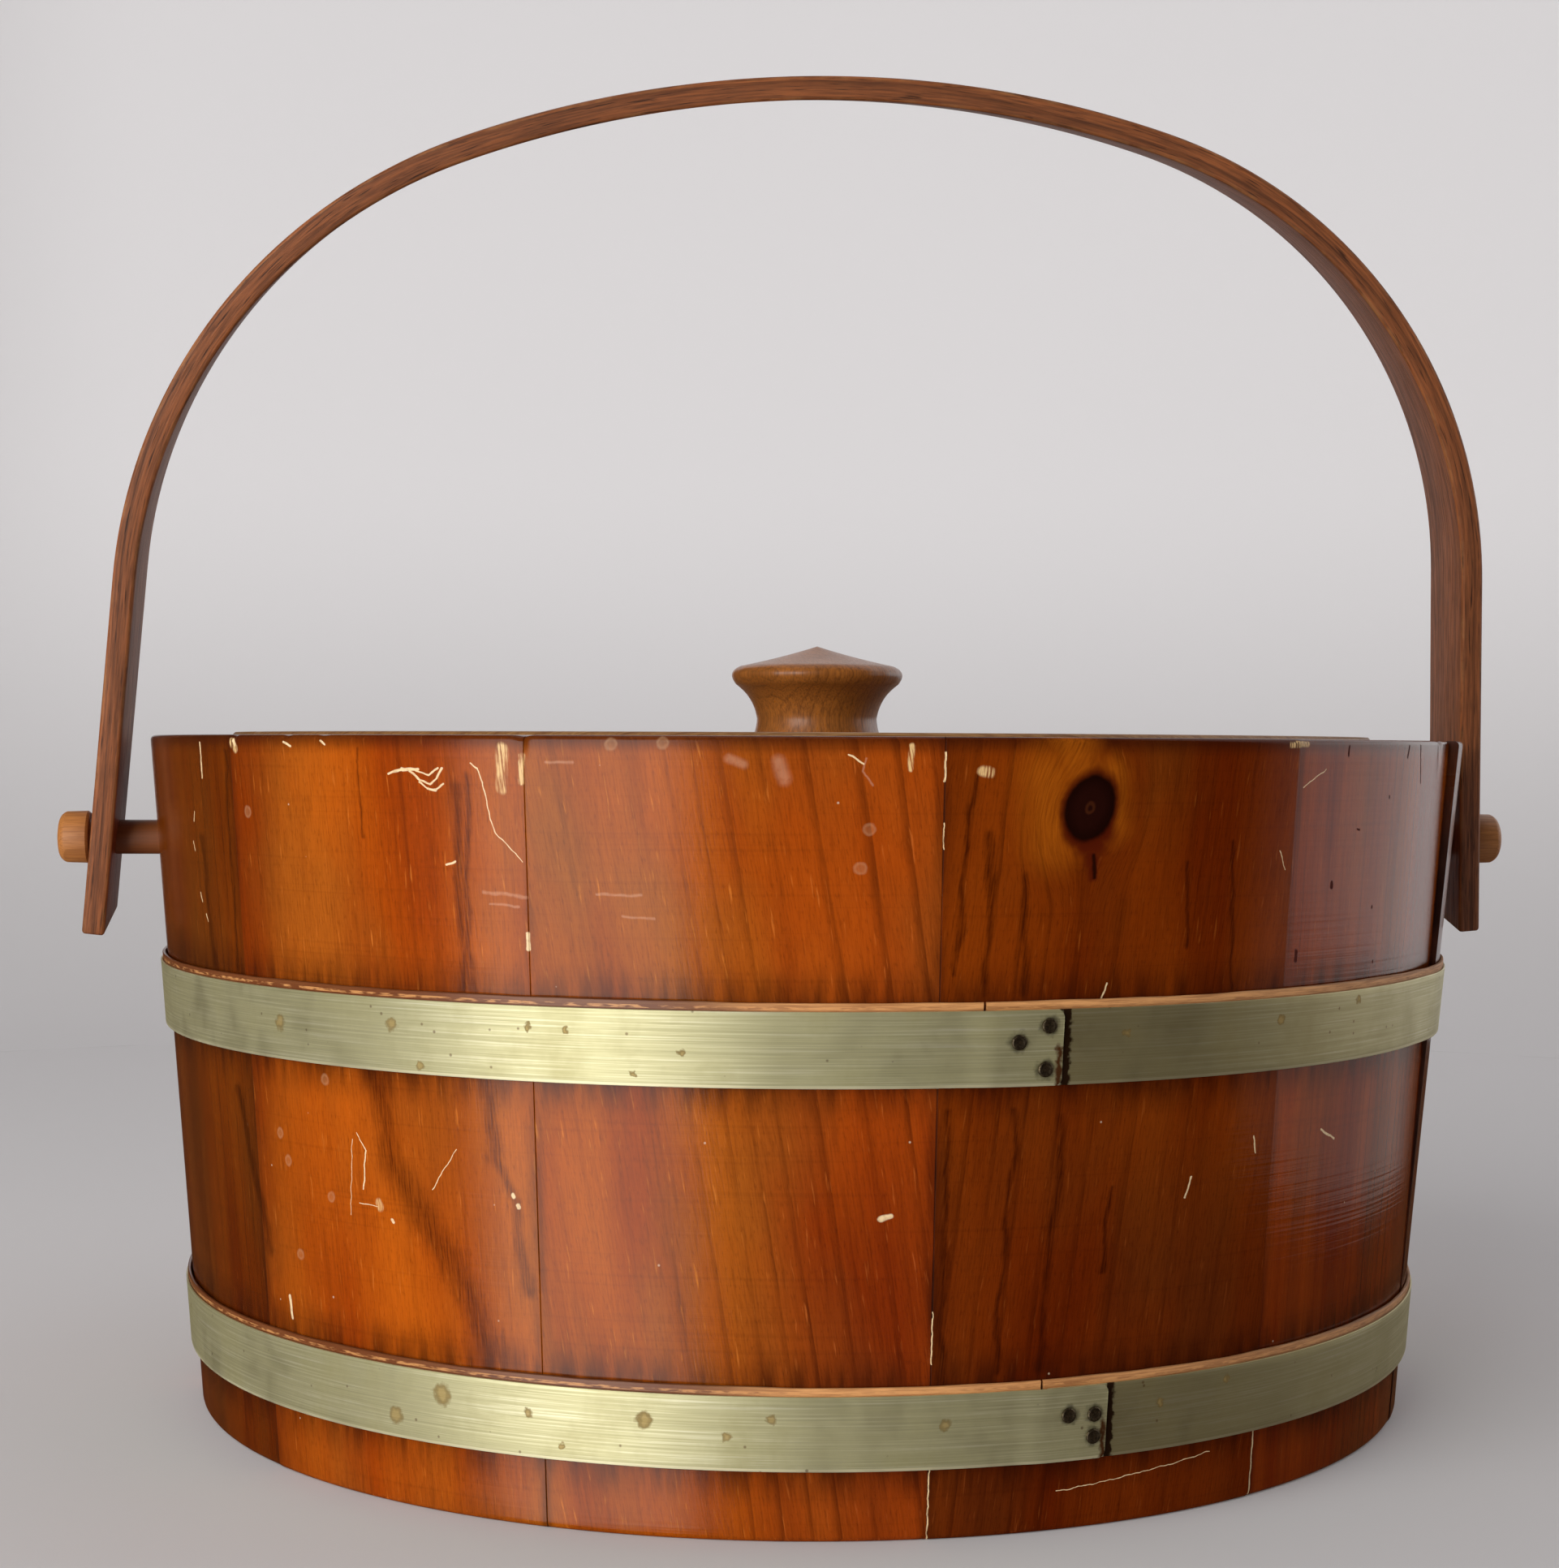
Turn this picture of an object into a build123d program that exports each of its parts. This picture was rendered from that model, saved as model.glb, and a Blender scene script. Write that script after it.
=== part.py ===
"""Wooden firkin: a tapered stave bucket with two banded hoops, an inset lid with a knob and a bent handle.

Millimetres, +Z up. The origin is the centre of the base, +X runs along the pegs to the right-hand one
and -Y faces the front. Angles go round the axis from +X, seen from above.
"""

import os
from math import atan2, cos, degrees, radians, sin, sqrt, tan

from build123d import *

# Bucket
rim_radius = 152.4
base_radius = 140.3
bucket_height = 151.8
rim_wall = 16.9
ledge_width = 4.0
stave_count = 12
seam_angle = 3.6
seam_easing = 0.4
rim_easing = 1.0
foot_easing = 1.2
chime_bevel = 4.0

# Bottom, held in a groove inside the staves
bottom_rise = 13.0
bottom_thickness = 11.0
bottom_board_width = 94.0
groove_depth = 5.0
groove_play = 0.25

# Hoops: a metal band over a thin wooden backing strip
hoop_width = 14.4
hoop_thickness = 0.45
hoop_play = 0.05
upper_hoop_drop = 50.8
lower_hoop_rise = 14.0
upper_lap_angle = -77.2
lower_lap_angle = -72.2
lap_length = 14.0
lap_joggle = 1.5
band_gap = 0.6
backing_thickness = 0.75
backing_play = 0.1
backing_stand = 1.9
upper_butt_angle = -83.0
lower_butt_angle = -77.5

# Rivets, as distances back from the lap's end and up from the hoop's lower edge
rivet_head_radius = 1.5
rivet_head_height = 0.7
rivet_shank_radius = 0.7
rivet_play = 0.05
upper_rivets = ((8.9, 8.4), (3.0, 11.4), (3.5, 3.2))
lower_rivets = ((8.3, 9.0), (2.8, 8.8), (2.9, 4.5))

# Pegs that carry the handle
peg_drop = 23.8
peg_radius = 4.0
peg_setback = 2.0
peg_glue_line = 0.05
peg_head_radius = 6.1
peg_head_length = 7.4
peg_head_rounding = 2.4
peg_head_play = 0.3

# Handle: one bent strip, measured along its centre line
handle_thickness = 5.2
handle_width = 22.7
handle_easing = 0.9
handle_reach = 174.5
handle_lean = 13.5
crown_shift = 5.9
crown_radius = 247.8
left_bend_radius = 116.3
right_bend_radius = 113.3
left_leg_gap = 10.2
right_leg_gap = 9.6
left_leg_splay = 6.6
right_leg_splay = 5.0
leg_tail = 20.7
handle_hole_play = 0.1

# Lid, dropped onto a ledge inside the rim
lid_thickness = 12.0
lid_stand = 0.8
lid_play = 1.5
lid_easing = 0.8
lid_seat_gap = 0.05
lid_board_width = 92.0

# Battens across the underside of the lid
batten_width = 18.0
batten_thickness = 9.0
batten_spread = 120.0
batten_wall_gap = 9.0
batten_end_bevel = 4.0

# Turned knob
knob_shift = 3.9
knob_height = 21.4
knob_radius = 20.6
knob_rim_height = 14.4
knob_rim_round = 2.2
knob_neck_radius = 14.4
knob_neck_height = 4.0
knob_foot_radius = 15.2
knob_cove = 1.05

# Flat-head wood screws
screw_radius = 1.7
screw_head_radius = 3.4
screw_head_angle = 90.0
screw_play = 0.05
knob_screw_bite = 10.0
batten_screw_bite = 7.0

os.makedirs("parts", exist_ok=True)


def outer_radius(height):
    """Outside of the staves at a height."""
    return base_radius + (rim_radius - base_radius) * height / bucket_height


def inner_radius(height):
    """Inside of the staves below the lid's ledge, parallel to the outside."""
    return outer_radius(height) - outer_radius(ledge_height) + lid_seat_radius - ledge_width


def upright_plane(angle):
    """Plane through the bucket's axis, with its x pointing outwards at an angle and its y upwards."""
    turn = radians(angle)
    return Plane(origin=(0, 0, 0), x_dir=(cos(turn), sin(turn), 0), z_dir=(sin(turn), -cos(turn), 0))


def save(piece, name):
    """Labels a finished piece and writes it to its own file."""
    piece.part.label = name
    export_step(piece.part, f"parts/{name}.step")


lid_top = bucket_height + lid_stand
lid_underside = lid_top - lid_thickness
ledge_height = lid_underside - lid_seat_gap
lid_seat_radius = rim_radius - rim_wall
lid_radius = lid_seat_radius - lid_play

peg_height = bucket_height - peg_drop
groove_radius = inner_radius(bottom_rise) + groove_depth
groove_top = bottom_rise + bottom_thickness + groove_play
taper = degrees(atan2(rim_radius - base_radius, bucket_height))

# Staves: each a turned segment with the lid's ledge at the top and the bottom's groove below
stave_arc = 360 / stave_count
peg_drill = 2 * (outer_radius(peg_height) + peg_head_radius)
for number in range(stave_count):
    with BuildPart() as stave:
        with BuildSketch(upright_plane(seam_angle + number * stave_arc)):
            with BuildLine():
                Polyline(
                    (outer_radius(foot_easing), foot_easing),
                    (outer_radius(bucket_height - rim_easing), bucket_height - rim_easing),
                    (rim_radius - rim_easing, bucket_height),
                    (lid_seat_radius, bucket_height),
                    (lid_seat_radius, ledge_height),
                    (inner_radius(ledge_height), ledge_height),
                    (inner_radius(groove_top), groove_top),
                    (groove_radius, groove_top),
                    (groove_radius, bottom_rise),
                    (inner_radius(bottom_rise), bottom_rise),
                    (inner_radius(chime_bevel), chime_bevel),
                    (inner_radius(0) + chime_bevel, 0),
                    (base_radius - foot_easing, 0),
                    close=True,
                )
            make_face()
        revolve(axis=Axis.Z, revolution_arc=stave_arc)
        outer_corners = stave.edges().filter_by(GeomType.LINE).sort_by(SortBy.LENGTH)[-2:]
        chamfer(outer_corners, seam_easing)
        with Locations((0, 0, peg_height)):
            Cylinder(peg_radius + peg_glue_line, peg_drill, rotation=(0, 90, 0), mode=Mode.SUBTRACT)
    save(stave, f"stave_{number + 1:02d}")

# Bottom: three boards side by side, cut to one disc
bottom_radius = groove_radius - groove_play
bottom_outer_width = bottom_radius - bottom_board_width / 2
for side, name in ((-1, "left"), (0, "middle"), (1, "right")):
    with BuildPart() as bottom_board:
        with BuildSketch(Plane.XY.offset(bottom_rise)):
            Circle(bottom_radius)
            with Locations((side * (bottom_board_width + bottom_outer_width) / 2, 0)):
                width = bottom_outer_width if side else bottom_board_width
                Rectangle(width, 2 * bottom_radius, mode=Mode.INTERSECT)
        extrude(amount=bottom_thickness)
    save(bottom_board, f"bottom_board_{name}")

# Rivet: a domed head on a shank that goes through the lap and the backing
lap_rise = hoop_thickness + hoop_play
rivet_grip = hoop_thickness + lap_rise + hoop_play + backing_thickness
rivet_drill = 4 * rivet_grip
with BuildPart() as rivet:
    with BuildSketch(Plane.XZ):
        with BuildLine():
            edge = Polyline((0, -rivet_grip), (rivet_shank_radius, -rivet_grip), (rivet_shank_radius, 0))
            rim = Line(edge @ 1, (rivet_head_radius, 0))
            dome = RadiusArc(
                rim @ 1,
                (0, rivet_head_height),
                -(rivet_head_radius**2 + rivet_head_height**2) / (2 * rivet_head_height),
            )
            Line(dome @ 1, edge @ 0)
        make_face()
    revolve(axis=Axis.Z)


def band(angle, arc, lower, upper, inset, thickness):
    """Adds a strip that lies on the staves' taper at an inset, from one height to another round an arc."""
    with BuildSketch(upright_plane(angle)) as section:
        with BuildLine():
            Polyline(
                (outer_radius(lower) + inset, lower),
                (outer_radius(lower) + inset + thickness, lower),
                (outer_radius(upper) + inset + thickness, upper),
                (outer_radius(upper) + inset, upper),
                close=True,
            )
        make_face()
    revolve(section.sketch, axis=Axis.Z, revolution_arc=arc)


# Hoops: each has a backing strip with a butt joint, a band with lapped ends and three rivets
hoop_inset = backing_play + backing_thickness + hoop_play
lap_inset = hoop_inset + lap_rise
hoops = (
    ("upper", bucket_height - upper_hoop_drop - hoop_width, upper_lap_angle, upper_butt_angle, upper_rivets),
    ("lower", lower_hoop_rise, lower_lap_angle, lower_butt_angle, lower_rivets),
)
for name, lower, lap_angle, butt_angle, rivet_places in hoops:
    upper = lower + hoop_width
    turn_per_length = degrees(1 / (outer_radius(lower) + lap_inset))
    lap_start = lap_angle - lap_length * turn_per_length
    gap_turn = band_gap * turn_per_length
    joggle_turn = lap_joggle * turn_per_length

    rivet_seats = []
    for back, up in rivet_places:
        facing = radians(lap_angle - back * turn_per_length)
        reach = outer_radius(lower + up) + lap_inset + hoop_thickness
        outward = (cos(facing) * cos(radians(taper)), sin(facing) * cos(radians(taper)), -sin(radians(taper)))
        seat = (reach * cos(facing), reach * sin(facing), lower + up)
        rivet_seats.append(Plane(origin=seat, x_dir=(-sin(facing), cos(facing), 0), z_dir=outward))

    with BuildPart() as backing:
        band(butt_angle, 360 - gap_turn, lower, upper + backing_stand, backing_play, backing_thickness)
        with Locations(*rivet_seats):
            Cylinder(rivet_shank_radius + rivet_play, rivet_drill, mode=Mode.SUBTRACT)
    save(backing, f"{name}_hoop_backing")

    with BuildPart() as hoop:
        band(lap_start + gap_turn, 360 - gap_turn, lower, upper, hoop_inset, hoop_thickness)
        band(lap_start - joggle_turn, joggle_turn, lower, upper, hoop_inset, lap_rise + hoop_thickness)
        band(lap_start, lap_angle - lap_start, lower, upper, lap_inset, hoop_thickness)
        with Locations(*rivet_seats):
            Cylinder(rivet_shank_radius + rivet_play, rivet_drill, mode=Mode.SUBTRACT)
    save(hoop, f"{name}_hoop")

    with BuildPart() as rivets:
        with Locations(*rivet_seats):
            add(rivet.part)
    save(rivets, f"{name}_hoop_rivets")

# Handle: straight splayed legs, a bend at each shoulder and a flatter crown, all tangent
handle_plane = Plane(
    origin=(0, 0, peg_height),
    x_dir=(1, 0, 0),
    z_dir=(0, -cos(radians(handle_lean)), -sin(radians(handle_lean))),
)
crown_centre = Vector(crown_shift, handle_reach - crown_radius)


def leg_offset(leg_gap):
    """Distance of a leg's centre line from the bucket's axis at the pegs."""
    return outer_radius(peg_height) + leg_gap + handle_thickness / 2


def shoulder(side, leg_gap, splay, bend_radius):
    """Foot of a leg and the points where its shoulder bend meets the leg and the crown."""
    along = Vector(-side * sin(radians(splay)), cos(radians(splay)))
    inward = Vector(-side * cos(radians(splay)), -sin(radians(splay)))
    pivot = Vector(side * leg_offset(leg_gap), 0)
    start = pivot + inward * bend_radius - crown_centre
    reach = crown_radius - bend_radius
    rise = sqrt(start.dot(along) ** 2 - start.dot(start) + reach**2) - start.dot(along)
    towards_crown = (start + along * rise).normalized()
    return pivot - along * leg_tail, pivot + along * rise, crown_centre + towards_crown * crown_radius


left_foot, left_touch, left_crown = shoulder(-1, left_leg_gap, left_leg_splay, left_bend_radius)
right_foot, right_touch, right_crown = shoulder(1, right_leg_gap, right_leg_splay, right_bend_radius)
handle_hole_radius = peg_radius + handle_hole_play
handle_drill = 2 * (leg_offset(max(left_leg_gap, right_leg_gap)) + handle_width)
with BuildPart() as handle:
    with BuildSketch(handle_plane):
        with BuildLine():
            left_leg = Line(left_foot, left_touch)
            left_bend = TangentArc(left_touch, left_crown, tangent=left_leg % 1)
            crown = TangentArc(left_crown, right_crown, tangent=left_bend % 1)
            right_bend = TangentArc(right_crown, right_touch, tangent=crown % 1)
            Line(right_touch, right_foot)
            offset(amount=handle_thickness / 2, side=Side.BOTH)
        make_face()
    extrude(amount=handle_width / 2, both=True)
    across = Axis((0, 0, peg_height), handle_plane.z_dir)
    sides = handle.faces().sort_by(across)
    fillet(sides[0].edges() + sides[-1].edges(), handle_easing)
    with Locations((0, 0, peg_height)):
        Cylinder(handle_hole_radius, handle_drill, rotation=(0, 90, 0), mode=Mode.SUBTRACT)
save(handle, "handle")

# Pegs: a shank glued through the stave, with a round head outside the handle's leg
for side, name, leg_gap, splay in (
    (-1, "left", left_leg_gap, left_leg_splay),
    (1, "right", right_leg_gap, right_leg_splay),
):
    leg_face = leg_offset(leg_gap) + handle_thickness / 2 / cos(radians(splay))
    head_start = leg_face + peg_head_radius * tan(radians(splay)) + peg_head_play
    head_end = head_start + peg_head_length
    shank_start = inner_radius(peg_height) + peg_setback
    with BuildPart() as peg:
        with BuildSketch(Plane.XZ):
            with BuildLine():
                shank = Polyline(
                    (side * head_end, peg_height),
                    (side * shank_start, peg_height),
                    (side * shank_start, peg_height + peg_radius),
                    (side * head_start, peg_height + peg_radius),
                    (side * head_start, peg_height + peg_head_radius),
                    (side * (head_end - peg_head_rounding), peg_height + peg_head_radius),
                )
                end_round = RadiusArc(
                    shank @ 1,
                    (side * head_end, peg_height + peg_head_radius - peg_head_rounding),
                    side * peg_head_rounding,
                )
                Line(end_round @ 1, shank @ 0)
            make_face()
        revolve(axis=Axis((0, 0, peg_height), (1, 0, 0)))
    save(peg, f"peg_{name}")

# Lid: three boards side by side, cut to one disc with an eased top edge
screw_head_height = (screw_head_radius - screw_radius) / tan(radians(screw_head_angle / 2))
batten_corner = batten_spread / 2 + batten_width / 2
batten_reach = inner_radius(lid_underside - batten_thickness) - batten_wall_gap
batten_half_length = sqrt(batten_reach**2 - batten_corner**2)
screw_row = (lid_board_width / 2 + batten_half_length) / 2
batten_screw_places = [
    (side * batten_spread / 2, row) for side in (-1, 1) for row in (-screw_row, 0, screw_row)
]
batten_underside = lid_underside - batten_thickness


def facing_down(place, height):
    """Plane at a place on a level, looking down out of the wood."""
    return Plane(origin=(place[0], place[1], height), z_dir=(0, 0, -1))


lid_outer_width = lid_radius - lid_board_width / 2
for side, name in ((-1, "front"), (0, "middle"), (1, "back")):
    with BuildPart() as lid_board:
        with BuildSketch(Plane.XY.offset(lid_underside)):
            Circle(lid_radius)
            with Locations((0, side * (lid_board_width + lid_outer_width) / 2)):
                width = lid_outer_width if side else lid_board_width
                Rectangle(2 * lid_radius, width, mode=Mode.INTERSECT)
        extrude(amount=lid_thickness)
        top_rim = lid_board.edges().filter_by(GeomType.CIRCLE).group_by(Axis.Z)[-1]
        chamfer(top_rim, lid_easing)
        with Locations(*[facing_down(place, lid_underside) for place in batten_screw_places]):
            Hole(screw_radius + screw_play, batten_screw_bite)
        with Locations(facing_down((knob_shift, 0), lid_underside)):
            CounterSinkHole(
                screw_radius + screw_play,
                screw_head_radius + screw_play,
                counter_sink_angle=screw_head_angle,
            )
    save(lid_board, f"lid_board_{name}")

# Battens: screwed across the boards from below, with bevelled ends
for side, name in ((-1, "left"), (1, "right")):
    with BuildPart() as batten:
        with BuildSketch(Plane.XY.offset(batten_underside)):
            with Locations((side * batten_spread / 2, 0)):
                Rectangle(batten_width, 2 * batten_half_length)
        extrude(amount=batten_thickness)
        lower_ends = batten.faces().sort_by(Axis.Z)[0].edges().filter_by(Axis.X)
        chamfer(lower_ends, batten_end_bevel)
        with Locations(*[facing_down(place, batten_underside) for place in batten_screw_places]):
            CounterSinkHole(
                screw_radius + screw_play,
                screw_head_radius + screw_play,
                counter_sink_angle=screw_head_angle,
            )
    save(batten, f"lid_batten_{name}")


def screw(place, underside, length):
    """Adds a flat-head screw that goes up into the wood, its head flush with an underside."""
    with BuildSketch(Plane.XZ.offset(-place[1])) as section:
        with BuildLine():
            Polyline(
                (place[0], underside),
                (place[0] + screw_head_radius, underside),
                (place[0] + screw_radius, underside + screw_head_height),
                (place[0] + screw_radius, underside + length - screw_radius),
                (place[0], underside + length),
                close=True,
            )
        make_face()
    revolve(section.sketch, axis=Axis((place[0], place[1], 0), (0, 0, 1)))


with BuildPart() as batten_screws:
    for place in batten_screw_places:
        screw(place, batten_underside, batten_thickness + batten_screw_bite - screw_play)
save(batten_screws, "lid_batten_screws")

# Knob: a shallow cone over a rounded rim, a cove and a slightly flared foot
with BuildPart() as knob:
    with BuildSketch(Plane.XZ):
        with BuildLine():
            top = Line(
                (knob_shift, lid_top + knob_height),
                (knob_shift + knob_radius - knob_rim_round, lid_top + knob_rim_height + knob_rim_round),
            )
            rim = ThreePointArc(
                top @ 1,
                (knob_shift + knob_radius, lid_top + knob_rim_height),
                (knob_shift + knob_radius - knob_rim_round / 2, lid_top + knob_rim_height - knob_rim_round),
            )
            cove = SagittaArc(
                rim @ 1,
                (knob_shift + knob_neck_radius, lid_top + knob_neck_height),
                -knob_cove,
            )
            Polyline(cove @ 1, (knob_shift + knob_foot_radius, lid_top), (knob_shift, lid_top), top @ 0)
        make_face()
    revolve(axis=Axis((knob_shift, 0, 0), (0, 0, 1)))
    with Locations(facing_down((knob_shift, 0), lid_top)):
        Hole(screw_radius + screw_play, knob_screw_bite)
save(knob, "knob")

with BuildPart() as knob_screw:
    screw((knob_shift, 0), lid_underside, lid_thickness + knob_screw_bite - screw_play)
save(knob_screw, "knob_screw")
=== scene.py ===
"""Looks of a wooden firkin: a stave bucket with two riveted hoops, a lid, a knob and a bent handle.

Metres, +Z up, in the frame of the packed model: the origin is the centre of the base, +X runs along the pegs
to the right-hand one and -Y faces the front. Angles go round the axis from +X, seen from above.
"""

import math

import bmesh
import bpy
import numpy as np
from bpy.props import FloatProperty, FloatVectorProperty, IntProperty, PointerProperty
from mathutils import Matrix, Vector


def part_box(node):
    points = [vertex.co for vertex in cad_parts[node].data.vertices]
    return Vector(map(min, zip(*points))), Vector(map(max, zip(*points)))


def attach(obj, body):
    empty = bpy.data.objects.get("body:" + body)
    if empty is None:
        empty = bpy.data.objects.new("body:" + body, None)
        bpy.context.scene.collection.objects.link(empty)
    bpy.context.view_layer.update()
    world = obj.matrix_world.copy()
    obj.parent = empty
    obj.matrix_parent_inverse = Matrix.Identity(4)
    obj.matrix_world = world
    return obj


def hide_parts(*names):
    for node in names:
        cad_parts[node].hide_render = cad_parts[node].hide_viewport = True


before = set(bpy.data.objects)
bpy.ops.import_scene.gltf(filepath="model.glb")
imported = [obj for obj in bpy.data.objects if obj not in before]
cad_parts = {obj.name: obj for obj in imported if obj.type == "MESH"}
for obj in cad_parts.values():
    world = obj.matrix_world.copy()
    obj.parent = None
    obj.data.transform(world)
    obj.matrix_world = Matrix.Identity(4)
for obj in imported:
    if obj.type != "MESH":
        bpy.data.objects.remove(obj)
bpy.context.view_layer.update()        # the packed model, fixed

bl_info = {
    "name": "Wooden firkin",
    "version": (1, 0, 0),
    "blender": (4, 5, 0),
    "location": "View3D > Sidebar > Firkin",
    "description": "Builds a stave bucket with hoops, lid, knob and bent handle around its packed model",
    "category": "Object",
}

MM = 0.001
# Radius at which arcs along the wall are measured, and the whole way round there in mm
MEAN_RADIUS = 146 * MM
ROUND = 2 * math.pi * MEAN_RADIUS / MM
RIM_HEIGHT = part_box("stave_01")[1].z
PEG_HEIGHT = (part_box("peg_left")[0].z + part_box("peg_left")[1].z) / 2

# Staves one to twelve: lift in mm, lightness, ring strength, slant of the grain and ring spacing in mm
STAVE_CHARACTER = (
    (-0.10, 0.92, 0.32, 0.03, 4.6),
    (-0.25, 1.00, 0.26, -0.06, 6.0),
    (-0.05, 0.84, 0.34, 0.02, 3.8),
    (-0.20, 1.04, 0.30, 0.10, 5.4),
    (0.00, 0.90, 0.32, -0.03, 4.2),
    (-0.15, 0.96, 0.30, 0.05, 5.0),
    (-0.25, 0.56, 0.26, 0.02, 4.4),
    (-0.05, 1.02, 0.16, 0.05, 7.2),
    (-0.15, 1.06, 0.46, 0.15, 6.8),
    (0.00, 0.62, 0.40, -0.10, 6.8),
    (-0.20, 0.98, 0.62, 0.01, 3.2),
    (0.00, 0.70, 0.34, 0.02, 4.4),
)
STAVE_RING_SPACING = 5.4 * MM
# Close fit between pieces, play of the bottom in its groove, and height from which the proud stave stands out
FIT = 0.05 * MM
GROOVE_PLAY = 0.25 * MM
PROUD_FROM = 28 * MM
# Gap at each seam, depth that still counts as the outer face, and sections along a stave and along a band
SEAM_PLAY = 0.015 * MM
OUTER_SKIN = 2 * MM
STAVE_STEPS = 96
BAND_STEPS = 420

# Hoops: degrees to the lap's end and to the backing's butt joint, and rivets in mm back from the end and up
HOOPS = {
    "upper": (-77.2, -83.0, ((8.9, 8.4), (3.0, 11.4), (3.5, 3.2))),
    "lower": (-72.2, -77.5, ((8.3, 9.0), (2.8, 8.8), (2.9, 4.5))),
}
# Round of a hoop's corners, and height and depth of the ragged upper edge of a backing strip
HOOP_CORNER = 1.4 * MM
RAGGED_HEIGHT = 2.5 * MM
RAGGED_DEPTH = 0.45 * MM

# Staves whose varnish film is thicker or thinner than the rest: specular level
VARNISH_FILM = {"stave 10": 0.12, "stave 11": 0.42}
# Seams that hardly show: arc and lowest height in mm, and how much further away they seem
FAINT_SEAMS = ((-67.0, 126.0, 1.6), (-67.0, 0.0, 0.11), (70.0, 0.0, 2.2))
# How far stain and painted shade reach from a hoop, and how far growth rings wander, counted in rings
HOOP_STAIN_AND_SHADE_REACH = 8.5 * MM
RING_WANDER = 2.2
# Setting of a Map Range node that eases in and out
SMOOTH = {"interpolation_type": "SMOOTHSTEP"}

# The knot's middle as arc and height in mm, and strokes round it: both ends from its middle, and half width
KNOT = (36.9, 138.7)
KNOT_HALF_SIZE = (5.3, 6.9)
KNOT_TILT = math.radians(20)
KNOT_GLOW = ((-8.5, 6, -7.0, -6, 9.5), (4.0, 6, 4.5, -3, 6.5), (-4.0, 12, -2.0, 6, 8.0))
KNOT_TAIL = (
    (-2.4, -4.8, 2.9, -4.6, 4.4), (-0.5, -7.0, 1.6, -7.0, 3.8), (0.6, -9.0, 0.9, -10.2, 2.7),
    (0.9, -11.0, 1.1, -13.0, 1.6),
)
KNOT_POINT = ((1.2, -9, 1.4, -13.2, 0.7),)

# Marks on the front of the wall, in mm: both ends as arc from the front and height, and half width
PALE_SCRATCHES = (
    ((-96.5, 144.4), (-93.2, 145.2), 0.3),
    ((-93.2, 145.2), (-89.5, 145.2), 0.4),
    ((-91.4, 144.8), (-89.1, 143.1), 0.3),
    ((-89.1, 143.1), (-87.0, 142.6), 0.25),
    ((-87.0, 142.6), (-85.4, 143.5), 0.25),
    ((-85.4, 143.5), (-84.2, 145.4), 0.3),
    ((-89.3, 142.8), (-87.6, 141.6), 0.22),
    ((-87.6, 141.6), (-85.8, 141.3), 0.35),
    ((-85.8, 141.3), (-84.0, 142.5), 0.25),
    ((-90.0, 144.9), (-87.2, 144.2), 0.2),
    ((-87.2, 144.2), (-85.0, 145.4), 0.22),
    ((-78.0, 146.4), (-76.6, 145.5), 0.16),
    ((-76.6, 145.5), (-75.6, 142.6), 0.14),
    ((-75.6, 142.6), (-74.3, 136.0), 0.14),
    ((-74.3, 136.0), (-73.2, 133.3), 0.16),
    ((-73.2, 133.3), (-71.0, 131.0), 0.15),
    ((-71.0, 131.0), (-68.0, 128.0), 0.12),
    ((-157.5, 150.0), (-157.6, 142.8), 0.35),
    ((-124.6, 150.4), (-122.4, 149.6), 0.3),
    ((-113.6, 150.6), (-112.6, 150.0), 0.3),
    ((-142.6, 150.8), (-141.8, 149.8), 0.6),
    ((-8.2, 148.4), (-5.4, 146.6), 0.2),
    ((-67.3, 114.6), (-67.4, 111.6), 0.5),
    ((-163.5, 135.6), (-164.0, 133.6), 0.2),
    ((-165.4, 129.2), (-164.8, 127.4), 0.2),
    ((-163.3, 118.6), (-162.6, 116.6), 0.2),
    ((-161.0, 114.0), (-160.2, 112.6), 0.2),
    ((-84.1, 127.2), (-82.3, 127.8), 0.3),
    ((-110.9, 72.2), (-112.6, 56.8), 0.09),
    ((-109.6, 73.5), (-107.4, 70.1), 0.15),
    ((-107.4, 70.1), (-108.5, 62.3), 0.20),
    ((-109.8, 59.5), (-104.9, 59.4), 0.10),
    ((-101.2, 57.0), (-101.0, 56.6), 0.4),
    ((-90.6, 64.0), (-84.6, 72.4), 0.10),
    ((-72.4, 64.5), (-72.2, 64.1), 0.5),
    ((-71.3, 62.6), (-71.1, 62.2), 0.5),
    ((9.15, 149.0), (9.15, 143.5), 0.2),
    ((9.2, 136.0), (9.2, 131.0), 0.1),
    ((9.2, 44.0), (9.2, 34.0), 0.12),
    ((9.2, 14.0), (9.2, 0.0), 0.14),
    ((86.0, 14.5), (86.0, 0.0), 0.25),
    ((-134.6, 37.2), (-134.0, 33.0), 0.5),
    ((-1.2, 61.9), (0.8, 62.4), 0.7),
    ((87.5, 142.2), (94.1, 145.9), 0.14),
    ((81.9, 130.0), (83.6, 126.2), 0.16),
    ((101.8, 72.8), (107.2, 70.4), 0.3),
    ((62.4, 63.0), (63.7, 66.9), 0.25),
    ((79.8, 73.6), (80.6, 70.3), 0.25),
    ((42.0, 105.6), (40.6, 101.5), 0.2),
    ((35.7, 7.7), (54.2, 9.4), 0.1),
    ((54.2, 9.4), (73.0, 11.3), 0.1),
)
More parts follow.
